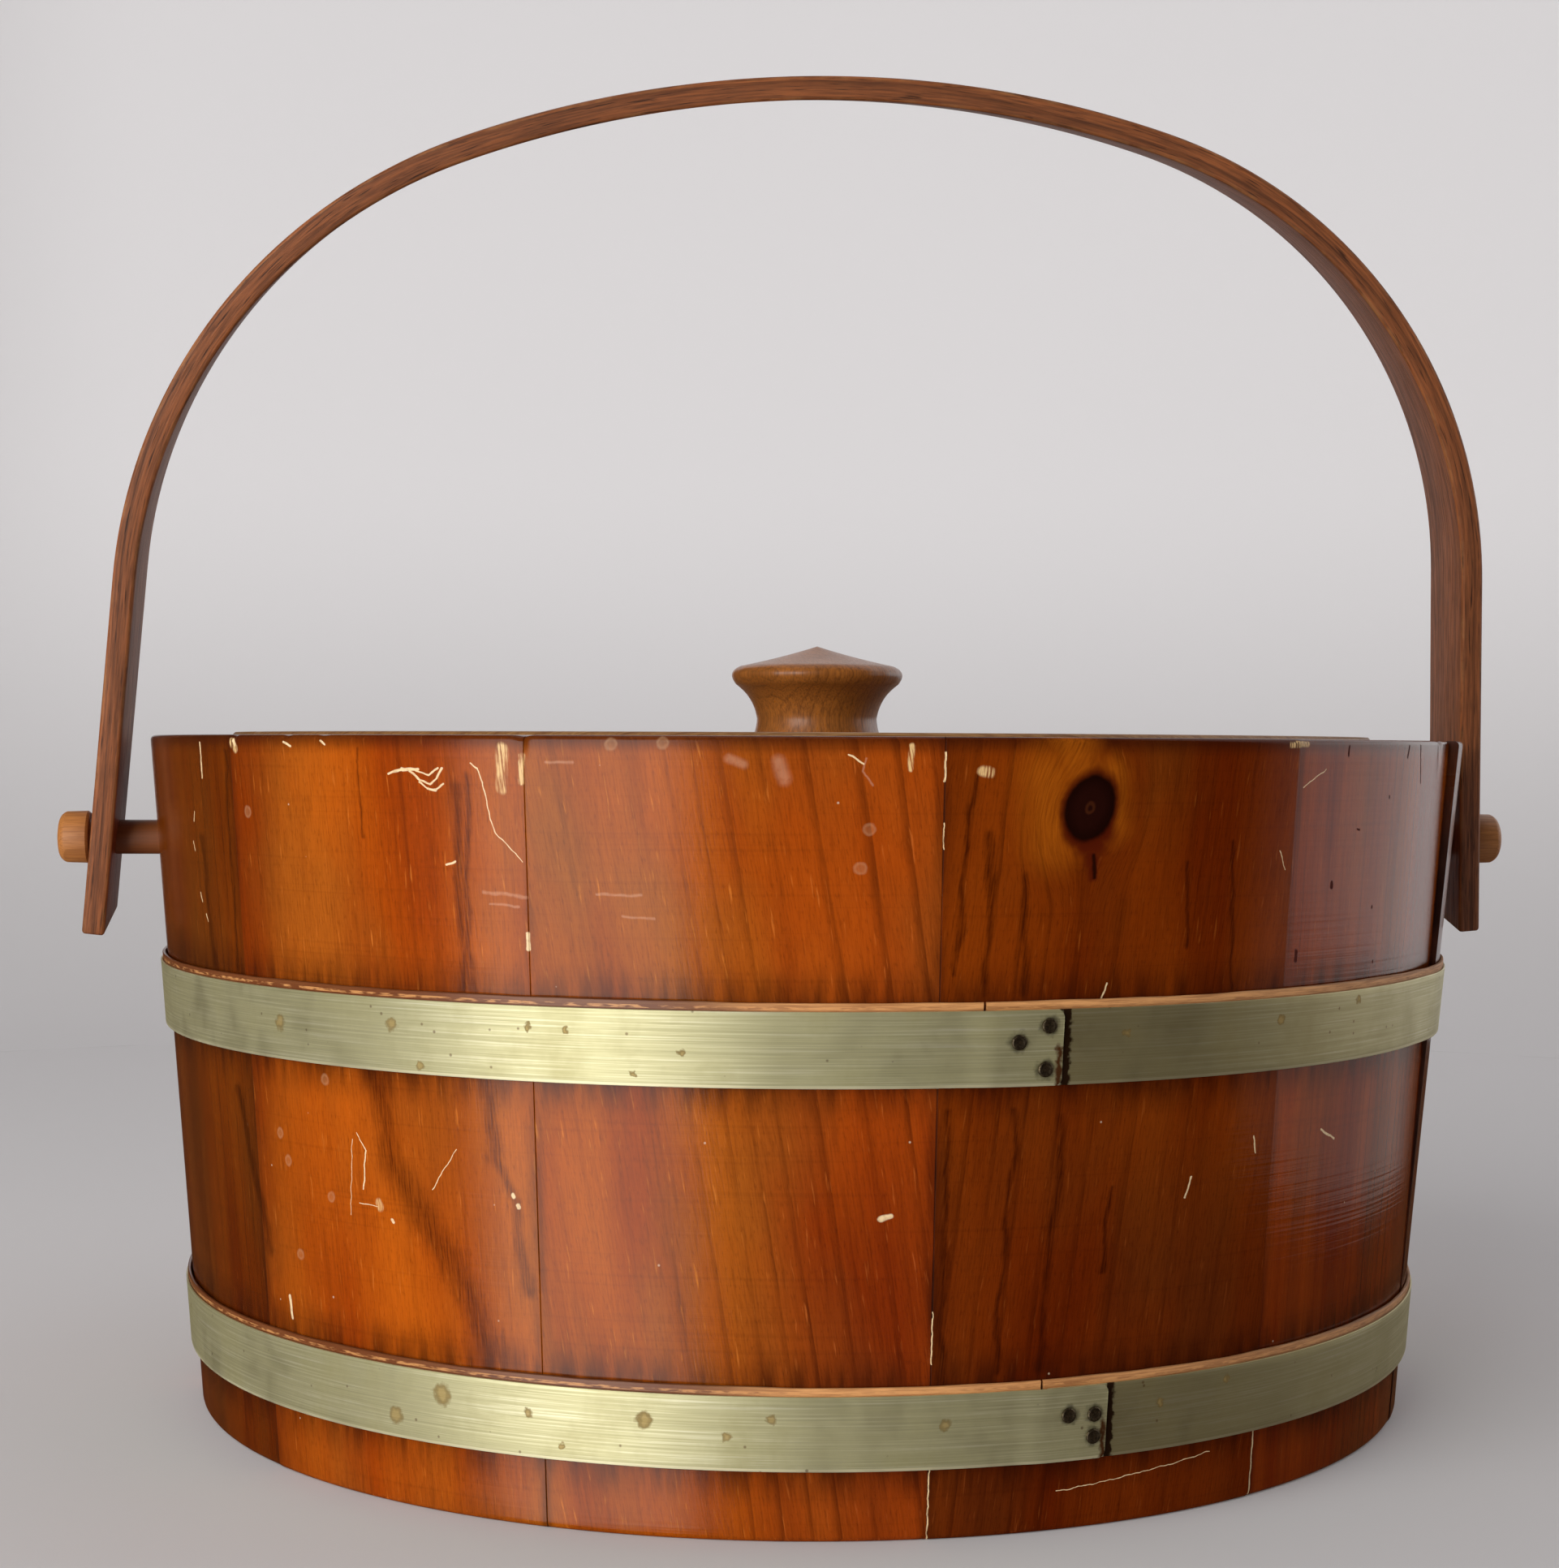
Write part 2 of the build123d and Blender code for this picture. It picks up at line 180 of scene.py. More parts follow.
WORN_PATCHES = (
    ((-71.5, 149.2), (-71.8, 141.8), 1.5),
    ((-67.6, 148.0), (-67.8, 143.0), 0.7),
    ((-143.0, 150.4), (-141.4, 149.0), 1.2),
    ((83.0, 150.6), (88.0, 150.8), 0.8),
    ((3.2, 149.9), (2.8, 145.8), 0.7),
    ((16.0, 145.5), (17.5, 145.2), 1.2),
    ((-104.6, 60.2), (-104.0, 59.2), 1.1),
)
RUBBED_SMUDGES = (
    ((-76.4, 122.2), (-67.4, 121.4), 0.5),
    ((-75.0, 120.0), (-69.0, 119.6), 0.4),
    ((-53.7, 122.2), (-45.3, 122.1), 0.4),
    ((-49.0, 118.2), (-43.0, 117.9), 0.4),
    ((-29.2, 147.6), (-26.5, 146.6), 1.3),
    ((-20.4, 147.2), (-19.4, 143.9), 1.9),
    ((-62.9, 146.7), (-57.8, 146.6), 0.4),
    ((-4.9, 147.7), (-5.6, 145.4), 0.3),
    ((-5.6, 145.4), (-3.8, 143.0), 0.3),
)
DARK_FIGURE = (
    ((-103.5, 86.0), (-100.5, 68.0), 5.0),
    ((-100.5, 68.0), (-94.7, 60.5), 5.5),
    ((-94.7, 60.5), (-88.5, 53.0), 5.5),
    ((-88.5, 53.0), (-77.0, 33.0), 6.0),
    ((-77.0, 86.0), (-76.3, 71.0), 2.8),
    ((-76.3, 71.0), (-71.6, 63.0), 2.0),
    ((-71.6, 63.0), (-70.0, 46.0), 2.4),
    ((-81.6, 142.0), (-81.2, 104.0), 2.0),
    ((-78.6, 144.0), (-80.0, 108.0), 1.6),
    ((-103.3, 149.0), (-104.0, 132.0), 0.6),
    ((-151.0, 78.0), (-141.0, 46.0), 2.4),
    ((-146.0, 148.0), (-147.5, 104.0), 1.4),
    ((-160.0, 130.0), (-158.0, 104.0), 2.0),
    ((14.3, 144.5), (11.5, 108.0), 1.0),
    ((17.9, 134.0), (17.8, 104.0), 1.2),
    ((25.0, 126.0), (25.2, 104.0), 1.4),
    ((58.8, 128.0), (59.0, 112.0), 1.0),
    ((68.6, 132.0), (71.0, 103.5), 0.8),
    ((11.5, 82.0), (11.4, 30.0), 1.2),
    ((24.6, 82.0), (22.0, 32.0), 1.0),
    ((33.5, 80.0), (31.5, 32.0), 1.6),
    ((45.0, 66.0), (44.0, 50.0), 0.9),
)
DARK_SPECKS = (
    ((98.9, 122.8), (98.9, 122.2), 0.75),
    ((101.5, 150.4), (101.5, 148.6), 0.4),
    ((134.3, 150.6), (136.2, 142.8), 0.35),
    ((127.5, 150.6), (127.1, 148.4), 0.45),
    ((88.8, 109.8), (88.8, 107.9), 0.7),
    ((115.3, 117.7), (115.3, 117.4), 0.4),
    ((106.9, 133.8), (107.6, 133.6), 0.35),
    ((119.3, 140.3), (119.3, 140.0), 0.4),
    ((117.8, 106.3), (117.8, 106.0), 0.4),
)
# Round dents: their radius, and the arc and height of each, in mm
DENT_RADIUS = 1.35
ROUND_DENTS = (
    (-50.5, 150.1), (-41.0, 150.4),
    (-134.1, 71.1), (-131.8, 65.6), (-5.8, 127.5), (-4.2, 134.7), (-138.2, 136.2), (-118.0, 83.4),
    (-129.6, 46.7), (-118.2, 59.7),
)
# Chips along the rim: arc and size in mm
RIM_CHIPS = (
    (-142.4, 1.2), (-124.0, 1.0), (-113.2, 0.9), (-67.6, 1.2),
    (150.0, 1.2), (196.0, 1.1), (262.0, 1.3), (330.0, 1.0), (405.0, 1.2),
)
# Tarnish on the hoops: arc, height and size in mm
HOOP_TARNISH = (
    (-129.5, 94.0, 1.9), (-97.5, 95.8, 1.7), (-91.2, 88.2, 1.2), (-67.5, 97.0, 0.9), (-60.0, 96.6, 0.8),
    (-38.0, 93.0, 0.9), (-47.0, 89.0, 0.7), (46.0, 96.0, 0.9), (84.0, 96.5, 1.2), (110.0, 99.0, 1.2),
    (-89.5, 24.2, 2.6), (-101.5, 18.4, 2.2), (-70.0, 22.6, 1.0), (-46.0, 23.2, 2.0), (-30.0, 20.5, 1.1),
    (-21.5, 24.2, 1.2), (12.0, 22.6, 1.4), (-63.0, 16.8, 0.8), (58.0, 23.5, 1.2), (75.0, 26.0, 1.1),
)


def srgb(code):
    """Linear colour, with alpha, of an sRGB hex code."""
    parts = [int(code[place:place + 2], 16) / 255 for place in (0, 2, 4)]
    linear = [part / 12.92 if part <= 0.04045 else ((part + 0.055) / 1.055) ** 2.4 for part in parts]
    return (*linear, 1.0)


def cad_points(node):
    """Vertices of a CAD node at rest."""
    return coordinates(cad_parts[node].data)


def coordinates(mesh):
    """Vertices of a mesh as rows of x, y and z."""
    points = np.empty(len(mesh.vertices) * 3, np.float32)
    mesh.vertices.foreach_get("co", points)
    return points.reshape(-1, 3).astype(float)


def wall_line():
    """Radius at the base and slope of the staves' outside, from two rings of the first stave."""
    points = cad_points("stave_01")
    radius = np.hypot(points[:, 0], points[:, 1])
    rim = radius.argmax()
    foot = np.where(points[:, 2] < 3 * MM, radius, 0).argmax()
    slope = (radius[rim] - radius[foot]) / (points[rim, 2] - points[foot, 2])
    return radius[foot] - slope * points[foot, 2], slope


BASE_RADIUS, WALL_SLOPE = wall_line()


def from_front(turn):
    """Angle from the front, between half a turn back and half a turn on."""
    return (turn + 1.5 * math.pi) % (2 * math.pi) - math.pi


def outer_radius(height):
    """Outside of the staves at a height."""
    return BASE_RADIUS + WALL_SLOPE * height


class FirkinWall(bpy.types.PropertyGroup):
    """Sizes and colours of the staves and the bottom"""
    stave_count: IntProperty(name="Staves", description="Staves round the wall", default=12, min=6)
    seam_angle: FloatProperty(
        name="First seam", description="Angle of the first seam", default=math.radians(3.6), subtype="ANGLE")
    seam_easing: FloatProperty(
        name="Seam easing", description="Round of a stave's outer edges", default=0.1 * MM, unit="LENGTH")
    rim_easing: FloatProperty(
        name="Rim easing", description="Round of the rim's outer edge", default=1.0 * MM, unit="LENGTH")
    lid_play: FloatProperty(
        name="Lid play", description="Gap between lid and staves", default=1.5 * MM, unit="LENGTH")
    ledge_width: FloatProperty(
        name="Ledge", description="Width of the ledge under the lid", default=4 * MM, unit="LENGTH")
    chime_bevel: FloatProperty(
        name="Foot bevel", description="Bevel inside the foot", default=4 * MM, unit="LENGTH")
    proud_lift: FloatProperty(
        name="Proud stave", description="How far the right-hand stave stands out at the rim",
        default=1.9 * MM, unit="LENGTH")
    pale: FloatVectorProperty(
        name="Pale varnish", description="Early wood under varnish", size=4, subtype="COLOR",
        default=srgb("b0530d"))
    deep: FloatVectorProperty(
        name="Deep varnish", description="Common colour of the varnished wall", size=4, subtype="COLOR",
        default=srgb("903803"))
    dark: FloatVectorProperty(
        name="Late wood", description="Rings, stains and edges", size=4, subtype="COLOR",
        default=srgb("3c1002"))


class FirkinHoops(bpy.types.PropertyGroup):
    """Sizes and colours of the hoops, their backing strips and rivets"""
    band_thickness: FloatProperty(
        name="Band", description="Thickness of the metal", default=0.45 * MM, unit="LENGTH")
    band_play: FloatProperty(
        name="Play", description="Gap under the metal", default=0.05 * MM, unit="LENGTH")
    lap_length: FloatProperty(
        name="Lap", description="Overlap of the band's ends", default=14 * MM, unit="LENGTH")
    joggle: FloatProperty(
        name="Joggle", description="Length over which the band climbs onto its own end", default=6 * MM,
        unit="LENGTH")
    end_gap: FloatProperty(
        name="End gap", description="Gap in front of a covered end", default=0.6 * MM, unit="LENGTH")
    backing_thickness: FloatProperty(
        name="Backing", description="Thickness of the wooden strip", default=0.75 * MM, unit="LENGTH")
    backing_play: FloatProperty(
        name="Backing play", description="Gap under the strip", default=0.1 * MM, unit="LENGTH")
    head_radius: FloatProperty(
        name="Rivet head", description="Radius of a rivet's head", default=1.5 * MM, unit="LENGTH")
    brass: FloatVectorProperty(
        name="Plating", description="Colour of the plated band", size=4, subtype="COLOR",
        default=srgb("e1dcae"))
    backing: FloatVectorProperty(
        name="Backing wood", description="Colour of the strip under the band", size=4, subtype="COLOR",
        default=srgb("dd9f63"))


class FirkinHandle(bpy.types.PropertyGroup):
    """Sizes and colours of the handle and its pegs"""
    thickness: FloatProperty(
        name="Thickness", description="Of the bent strip", default=5.15 * MM, unit="LENGTH")
    width: FloatProperty(name="Width", description="Of the bent strip", default=22.7 * MM, unit="LENGTH")
    easing: FloatProperty(name="Easing", description="Round of its edges", default=0.9 * MM, unit="LENGTH")
    reach: FloatProperty(
        name="Reach", description="From the pegs to the crown's centre", default=174.5 * MM, unit="LENGTH")
    lean: FloatProperty(
        name="Lean", description="Towards the front", default=math.radians(13.5), subtype="ANGLE")
    crown_shift: FloatProperty(
        name="Crown shift", description="Crown's place right of the axis", default=5.9 * MM, unit="LENGTH")
    crown_radius: FloatProperty(
        name="Crown radius", description="Of the flatter top bend", default=247.8 * MM, unit="LENGTH")
    left_bend: FloatProperty(
        name="Left bend", description="Radius of the left shoulder", default=116.3 * MM, unit="LENGTH")
    right_bend: FloatProperty(
        name="Right bend", description="Radius of the right shoulder", default=113.3 * MM, unit="LENGTH")
    left_gap: FloatProperty(
        name="Left gap", description="From stave to left leg", default=10.2 * MM, unit="LENGTH")
    right_gap: FloatProperty(
        name="Right gap", description="From stave to right leg", default=9.6 * MM, unit="LENGTH")
    left_splay: FloatProperty(
        name="Left splay", description="Slope of the left leg", default=math.radians(6.6), subtype="ANGLE")
    right_splay: FloatProperty(
        name="Right splay", description="Slope of the right leg", default=math.radians(5.0), subtype="ANGLE")
    tail: FloatProperty(
        name="Tail", description="Leg below the pegs", default=20.7 * MM, unit="LENGTH")
    hole_radius: FloatProperty(
        name="Hole", description="Radius of the holes for the pegs", default=4.1 * MM, unit="LENGTH")
    peg_radius: FloatProperty(name="Peg", description="Radius of a shank", default=4 * MM, unit="LENGTH")
    peg_head_length: FloatProperty(
        name="Peg head", description="Length of a head", default=7.4 * MM, unit="LENGTH")
    stain: FloatVectorProperty(
        name="Stain", description="Colour of the strip", size=4, subtype="COLOR", default=srgb("96562e"))
    honey: FloatVectorProperty(
        name="Peg wood", description="Colour of the pegs", size=4, subtype="COLOR", default=srgb("bb7a3e"))


class FirkinLid(bpy.types.PropertyGroup):
    """Sizes and colours of the lid and its knob"""
    easing: FloatProperty(
        name="Easing", description="Round of the boards' edges", default=0.5 * MM, unit="LENGTH")
    rim_radius: FloatProperty(
        name="Knob", description="Widest radius of the knob", default=20.6 * MM, unit="LENGTH")
    neck_radius: FloatProperty(
        name="Neck", description="Least radius of the knob", default=14.4 * MM, unit="LENGTH")
    screw_head_radius: FloatProperty(
        name="Screw head", description="Radius of a screw's head", default=3.4 * MM, unit="LENGTH")
    wood: FloatVectorProperty(
        name="Lid wood", description="Colour of the lid's boards", size=4, subtype="COLOR",
        default=srgb("9a7040"))
    knob: FloatVectorProperty(
        name="Knob wood", description="Colour of the knob", size=4, subtype="COLOR", default=srgb("aa672a"))


class FirkinStage(bpy.types.PropertyGroup):
    """Camera, light and backdrop"""
    distance: FloatProperty(
        name="Distance", description="Camera to the bucket's axis", default=634.7 * MM, unit="LENGTH")
    height: FloatProperty(name="Height", description="Camera height", default=149.7 * MM, unit="LENGTH")
    yaw: FloatProperty(
        name="Yaw", description="Camera left of the front", default=math.radians(6.5), subtype="ANGLE")
    pan: FloatProperty(
        name="Pan", description="Camera turned to the right", default=-0.0079, subtype="ANGLE")
    pitch: FloatProperty(name="Pitch", description="Camera tilted up", default=-0.0139, subtype="ANGLE")
    roll: FloatProperty(name="Roll", description="Camera rolled to the left", default=0.0049, subtype="ANGLE")
    lens: FloatProperty(name="Lens", description="Focal length on a 36 mm sensor, in mm", default=60.58)
    key: FloatProperty(name="Key light", description="Brightness of the tall panel at the left", default=2.7)
    key_angle: FloatProperty(
        name="Key angle", description="Key light left of front", default=math.radians(42), subtype="ANGLE")
    soft: FloatProperty(
        name="Soft light", description="Brightness of the panel beside the key, which gives no reflections",
        default=2.8)
    side: FloatProperty(
        name="Side light", description="Brightness of the panel at the right, which gives reflections only",
        default=0.39)
    ambient: FloatProperty(name="Ambient", description="Brightness of the soft surround", default=0.17)
    paper: FloatVectorProperty(
        name="Paper", description="Colour of floor and backdrop", size=4, subtype="COLOR",
        default=srgb("c8c6c7"))


# Mesh tools

def new_piece(name, vertices=(), faces=(), edges=()):
    """New mesh object in the scene."""
    mesh = bpy.data.meshes.new(name)
    mesh.from_pydata([tuple(vertex) for vertex in vertices], edges, faces)
    piece = bpy.data.objects.new(name, mesh)
    bpy.context.scene.collection.objects.link(piece)
    return piece


def settle(piece):
    """Makes what a piece's modifiers give its plain mesh."""
    graph = bpy.context.evaluated_depsgraph_get()
    mesh = bpy.data.meshes.new_from_object(
        piece.evaluated_get(graph), preserve_all_data_layers=True, depsgraph=graph)
    piece.modifiers.clear()
    piece.data = mesh


def grow(tree, piece, **inputs):
    """Runs a geometry tree on a piece, its inputs given by name, and keeps the result as its mesh."""
    modifier = piece.modifiers.new(tree.name, "NODES")
    modifier.node_group = tree
    for item in tree.interface.items_tree:
        if item.in_out == "INPUT" and item.name in inputs:
            modifier[item.identifier] = inputs[item.name]
    settle(piece)
    return piece


def cut(piece, cutter):
    """Takes the cutter's shape out of a piece."""
    modifier = piece.modifiers.new("cut", "BOOLEAN")
    modifier.object = cutter
    modifier.operation = "DIFFERENCE"
    modifier.solver = "EXACT"
    settle(piece)
    bpy.data.objects.remove(cutter)


def place_points(mesh, points):
    """Writes moved vertices back to a mesh."""
    mesh.vertices.foreach_set("co", points.astype(np.float32).ravel())
    mesh.update()


def store(mesh, name, *columns):
    """Keeps one or three numbers at each vertex under a name that the finishes read."""
    kind, field = ("FLOAT", "value") if len(columns) == 1 else ("FLOAT_VECTOR", "vector")
    attribute = mesh.attributes.new(name, kind, "POINT")
    values = np.stack(np.broadcast_arrays(*columns), axis=-1)
    attribute.data.foreach_set(field, values.astype(np.float32).ravel())


def finish_piece(piece, body, nodes, material, crease=35):
    """Turns faces outwards, smooths the shading, gives the finish and ties the piece to the frame."""
    mesh = piece.data
    shape = bmesh.new()
    shape.from_mesh(mesh)
    bmesh.ops.remove_doubles(shape, verts=shape.verts, dist=1e-7)
    bmesh.ops.recalc_face_normals(shape, faces=shape.faces)
    shape.to_mesh(mesh)
    shape.free()
    mesh.materials.clear()
    mesh.materials.append(material)
    mesh.shade_smooth()
    mesh.set_sharp_from_angle(angle=math.radians(crease))
    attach(piece, body)
    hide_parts(*nodes)


def rounded(corners, pitch, arc_steps=4):
    """Closed outline through (x, y, radius) corners, with points at a pitch along the straights."""
    arcs = []
    for number, (x, y, radius) in enumerate(corners):
        corner = Vector((x, y))
        if radius == 0:
            arcs.append([corner])
            continue
        before = (Vector(corners[number - 1][:2]) - corner).normalized()
        after = (Vector(corners[(number + 1) % len(corners)][:2]) - corner).normalized()
        half = before.angle(after) / 2
        centre = corner + (before + after).normalized() * radius / math.sin(half)
        start = corner + before * radius / math.tan(half) - centre
        end = corner + after * radius / math.tan(half) - centre
        arcs.append(arc_points(centre, centre + start, centre + end, arc_steps))
    outline = []
    for number, arc in enumerate(arcs):
        ahead = arcs[(number + 1) % len(arcs)][0]
        steps = max(1, round((ahead - arc[-1]).length / pitch))
        outline += arc
        outline += [arc[-1].lerp(ahead, step / steps) for step in range(1, steps)]
    return outline


def arc_points(centre, start, end, steps):
    """Points on the shorter arc round a centre, both ends included."""
    first, last = start - centre, end - centre
    sweep = math.atan2(first.x * last.y - first.y * last.x, first.dot(last))
    return [centre + Matrix.Rotation(sweep * step / steps, 2) @ first for step in range(steps + 1)]


def bowed(start, end, bulge, steps=8):
    """Points from start to just before end along a line that bulges outwards."""
    start, end = Vector(start), Vector(end)
    along = end - start
    outward = Vector((-along.y, along.x)).normalized()
    shares = [step / steps for step in range(steps)]
    return [start + along * share + outward * bulge * 4 * share * (1 - share) for share in shares]


def turned(name, profile, segments=72):
    """Closed shape turned about Z from (radius, height) points, the first and the last on the axis."""
    turns = np.linspace(0, 2 * math.pi, segments, endpoint=False)
    rings = [
        [(radius * math.cos(turn), radius * math.sin(turn), height) for turn in turns]
        for radius, height in profile[1:-1]
    ]
    vertices = [(0, 0, profile[0][1])]
    vertices += [vertex for ring in rings for vertex in ring]
    vertices.append((0, 0, profile[-1][1]))
    faces = []
    for step in range(segments):
        ahead = (step + 1) % segments
        faces.append((0, 1 + step, 1 + ahead))
        for ring in range(len(rings) - 1):
            near, far = 1 + ring * segments, 1 + (ring + 1) * segments
            faces.append((near + step, far + step, far + ahead, near + ahead))
        last = 1 + (len(rings) - 1) * segments
        faces.append((last + step, len(vertices) - 1, last + ahead))
    return new_piece(name, vertices, faces)


def eased_copy(node, name, easing):
    """A CAD node's shape with its sharp edges eased."""
    shape = bmesh.new()
    shape.from_mesh(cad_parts[node].data)
    bmesh.ops.remove_doubles(shape, verts=shape.verts, dist=1e-6)
    bmesh.ops.dissolve_limit(shape, angle_limit=math.radians(0.5), verts=shape.verts, edges=shape.edges)
    sharp = [edge for edge in shape.edges if edge.is_manifold and edge.calc_face_angle() > math.radians(40)]
    bmesh.ops.bevel(
        shape, geom=sharp, offset=easing, offset_type="OFFSET", segments=2, profile=0.5, affect="EDGES",
        clamp_overlap=True)
    piece = new_piece(name)
    shape.to_mesh(piece.data)
    shape.free()
    return piece


def smooth_step(value, low, high):
    """Rises smoothly from 0 at low to 1 at high."""
    share = np.clip((value - low) / (high - low), 0, 1)
    return share * share * (3 - 2 * share)


def ripple(turn, seed):
    """Small repeatable unevenness round the bucket, between 0 and 1."""
    waves = sum(np.sin(turn * count + seed * count) / count ** 0.5 for count in (5, 11, 23, 41, 67))
    return 0.5 + 0.5 * np.tanh(waves)


# Node tools

def feed(node, inputs):
    """Links or sets a node's inputs by name or place."""
    for name, value in inputs.items():
        if isinstance(value, bpy.types.NodeSocket):
            node.id_data.links.new(value, node.inputs[name])
        else:
            node.inputs[name].default_value = value


def add(tree, kind, inputs=None, out=0, **settings):
    """Adds a node with its settings and links, and gives one of its outputs, or all where out is None."""
    node = tree.nodes.new(kind if "Node" in kind else f"ShaderNode{kind}")
    for name, value in settings.items():
        setattr(node, name, value)
    feed(node, inputs or {})
    return node.outputs if out is None else node.outputs[out]


def new_tree(name, kind, inputs, outputs):
    """Node group with named sockets, and what its own nodes read from its inputs."""
    tree = bpy.data.node_groups.new(name, kind)
    for in_out, sockets in (("INPUT", inputs), ("OUTPUT", outputs)):
        for label, socket in sockets.items():
            tree.interface.new_socket(label, in_out=in_out, socket_type=f"NodeSocket{socket}")
    return tree, add(tree, "NodeGroupInput", out=None)


def end_tree(tree, geometry, finish):
    """Last nodes of a geometry tree: copies are made real, and the finish is set."""
    real = add(tree, "GeometryNodeRealizeInstances", {0: geometry})
    finished = add(tree, "GeometryNodeSetMaterial", {"Geometry": real, "Material": finish})
    add(tree, "NodeGroupOutput", {0: finished}, None)
    return tree


def wrapped_section():
    """Tree that sweeps a section round the bucket's axis, with its steps closest near both ends."""
    tree, given = new_tree("wrapped_section", "GeometryNodeTree", {
        "Section": "Object", "Start": "Float", "Turn": "Float", "Steps": "Int", "Finish": "Material"},
        {"Mesh": "Geometry"})
    section = add(tree, "GeometryNodeObjectInfo", {"Object": given["Section"]}, "Geometry")
    profile = add(tree, "GeometryNodeMeshToCurve", {"Mesh": section})
    line = add(tree, "GeometryNodeCurvePrimitiveLine", {"Start": (0, 0, 0), "End": (1, 0, 0)})
    path = add(tree, "GeometryNodeResampleCurve", {"Curve": line, "Count": given["Steps"]})
    swept = add(tree, "GeometryNodeCurveToMesh", {"Curve": path, "Profile Curve": profile, "Fill Caps": True})
    position = add(tree, "GeometryNodeInputPosition")
    along, out, up = add(tree, "SeparateXYZ", {0: position}, None)
    half_turn = add(tree, "Math", {0: along, 1: math.pi}, operation="MULTIPLY")
    spacing = add(tree, "Math", {0: half_turn}, operation="COSINE")
    end = add(tree, "Math", {0: given["Start"], 1: given["Turn"]}, operation="ADD")
    angle = add(tree, "MapRange", {0: spacing, 1: 1.0, 2: -1.0, 3: given["Start"], 4: end})
    radius = add(tree, "Math", {0: out}, operation="ABSOLUTE")
    height = add(tree, "Math", {0: up}, operation="ABSOLUTE")
    arm = add(tree, "CombineXYZ", {0: radius, 2: height})
    place = add(tree, "VectorRotate", {"Vector": arm, "Angle": angle}, rotation_type="Z_AXIS")
    kept = add(tree, "GeometryNodeStoreNamedAttribute", {
        "Geometry": swept, "Name": "turn", "Value": angle}, data_type="FLOAT")
    moved = add(tree, "GeometryNodeSetPosition", {"Geometry": kept, "Position": place})
    return end_tree(tree, moved, given["Finish"])


def bent_strip():
    """Tree that carries an eased rectangle along a path, then leans it about the pegs' axis."""
    tree, given = new_tree("bent_strip", "GeometryNodeTree", {
        "Path": "Object", "Width": "Float", "Thickness": "Float", "Easing": "Float", "Lean": "Vector",
        "Pivot": "Vector", "Finish": "Material"}, {"Mesh": "Geometry"})
    drawn = add(tree, "GeometryNodeObjectInfo", {"Object": given["Path"]}, "Geometry")
    path = add(tree, "GeometryNodeMeshToCurve", {"Mesh": drawn})
    bar = add(tree, "GeometryNodeCurvePrimitiveQuadrilateral", {
        "Width": given["Width"], "Height": given["Thickness"]})
    eased = add(tree, "GeometryNodeFilletCurve", {
        "Curve": bar, "Count": 4, "Radius": given["Easing"]}, mode="POLY")
    swept = add(tree, "GeometryNodeCurveToMesh", {"Curve": path, "Profile Curve": eased, "Fill Caps": True})
    leaned = add(tree, "GeometryNodeTransform", {
        "Geometry": swept, "Translation": given["Pivot"], "Rotation": given["Lean"]})
    return end_tree(tree, leaned, given["Finish"])


def set_heads():
    """Tree that sets a copy of one fastener at every point, turned to the direction kept there."""
    tree, given = new_tree("set_heads", "GeometryNodeTree", {
        "Points": "Geometry", "Fastener": "Object", "Finish": "Material"}, {"Mesh": "Geometry"})
    fastener = add(tree, "GeometryNodeObjectInfo", {"Object": given["Fastener"]}, "Geometry")
    facing = add(tree, "GeometryNodeInputNamedAttribute", {"Name": "facing"}, data_type="FLOAT_VECTOR")
    aim = add(tree, "FunctionNodeAlignRotationToVector", {"Vector": facing}, axis="Z")
    spin = add(tree, "FunctionNodeRandomValue", {"Seed": 4}, "Value", data_type="FLOAT")
    twist = add(tree, "Math", {0: spin, 1: 2 * math.pi}, operation="MULTIPLY")
    own_turn = add(tree, "FunctionNodeAxisAngleToRotation", {"Axis": (0, 0, 1), "Angle": twist})
    turn = add(tree, "FunctionNodeRotateRotation", {
        "Rotation": aim, "Rotate By": own_turn}, rotation_space="LOCAL")
    copies = add(tree, "GeometryNodeInstanceOnPoints", {
        "Points": given["Points"], "Instance": fastener, "Rotation": turn})
    return end_tree(tree, copies, given["Finish"])


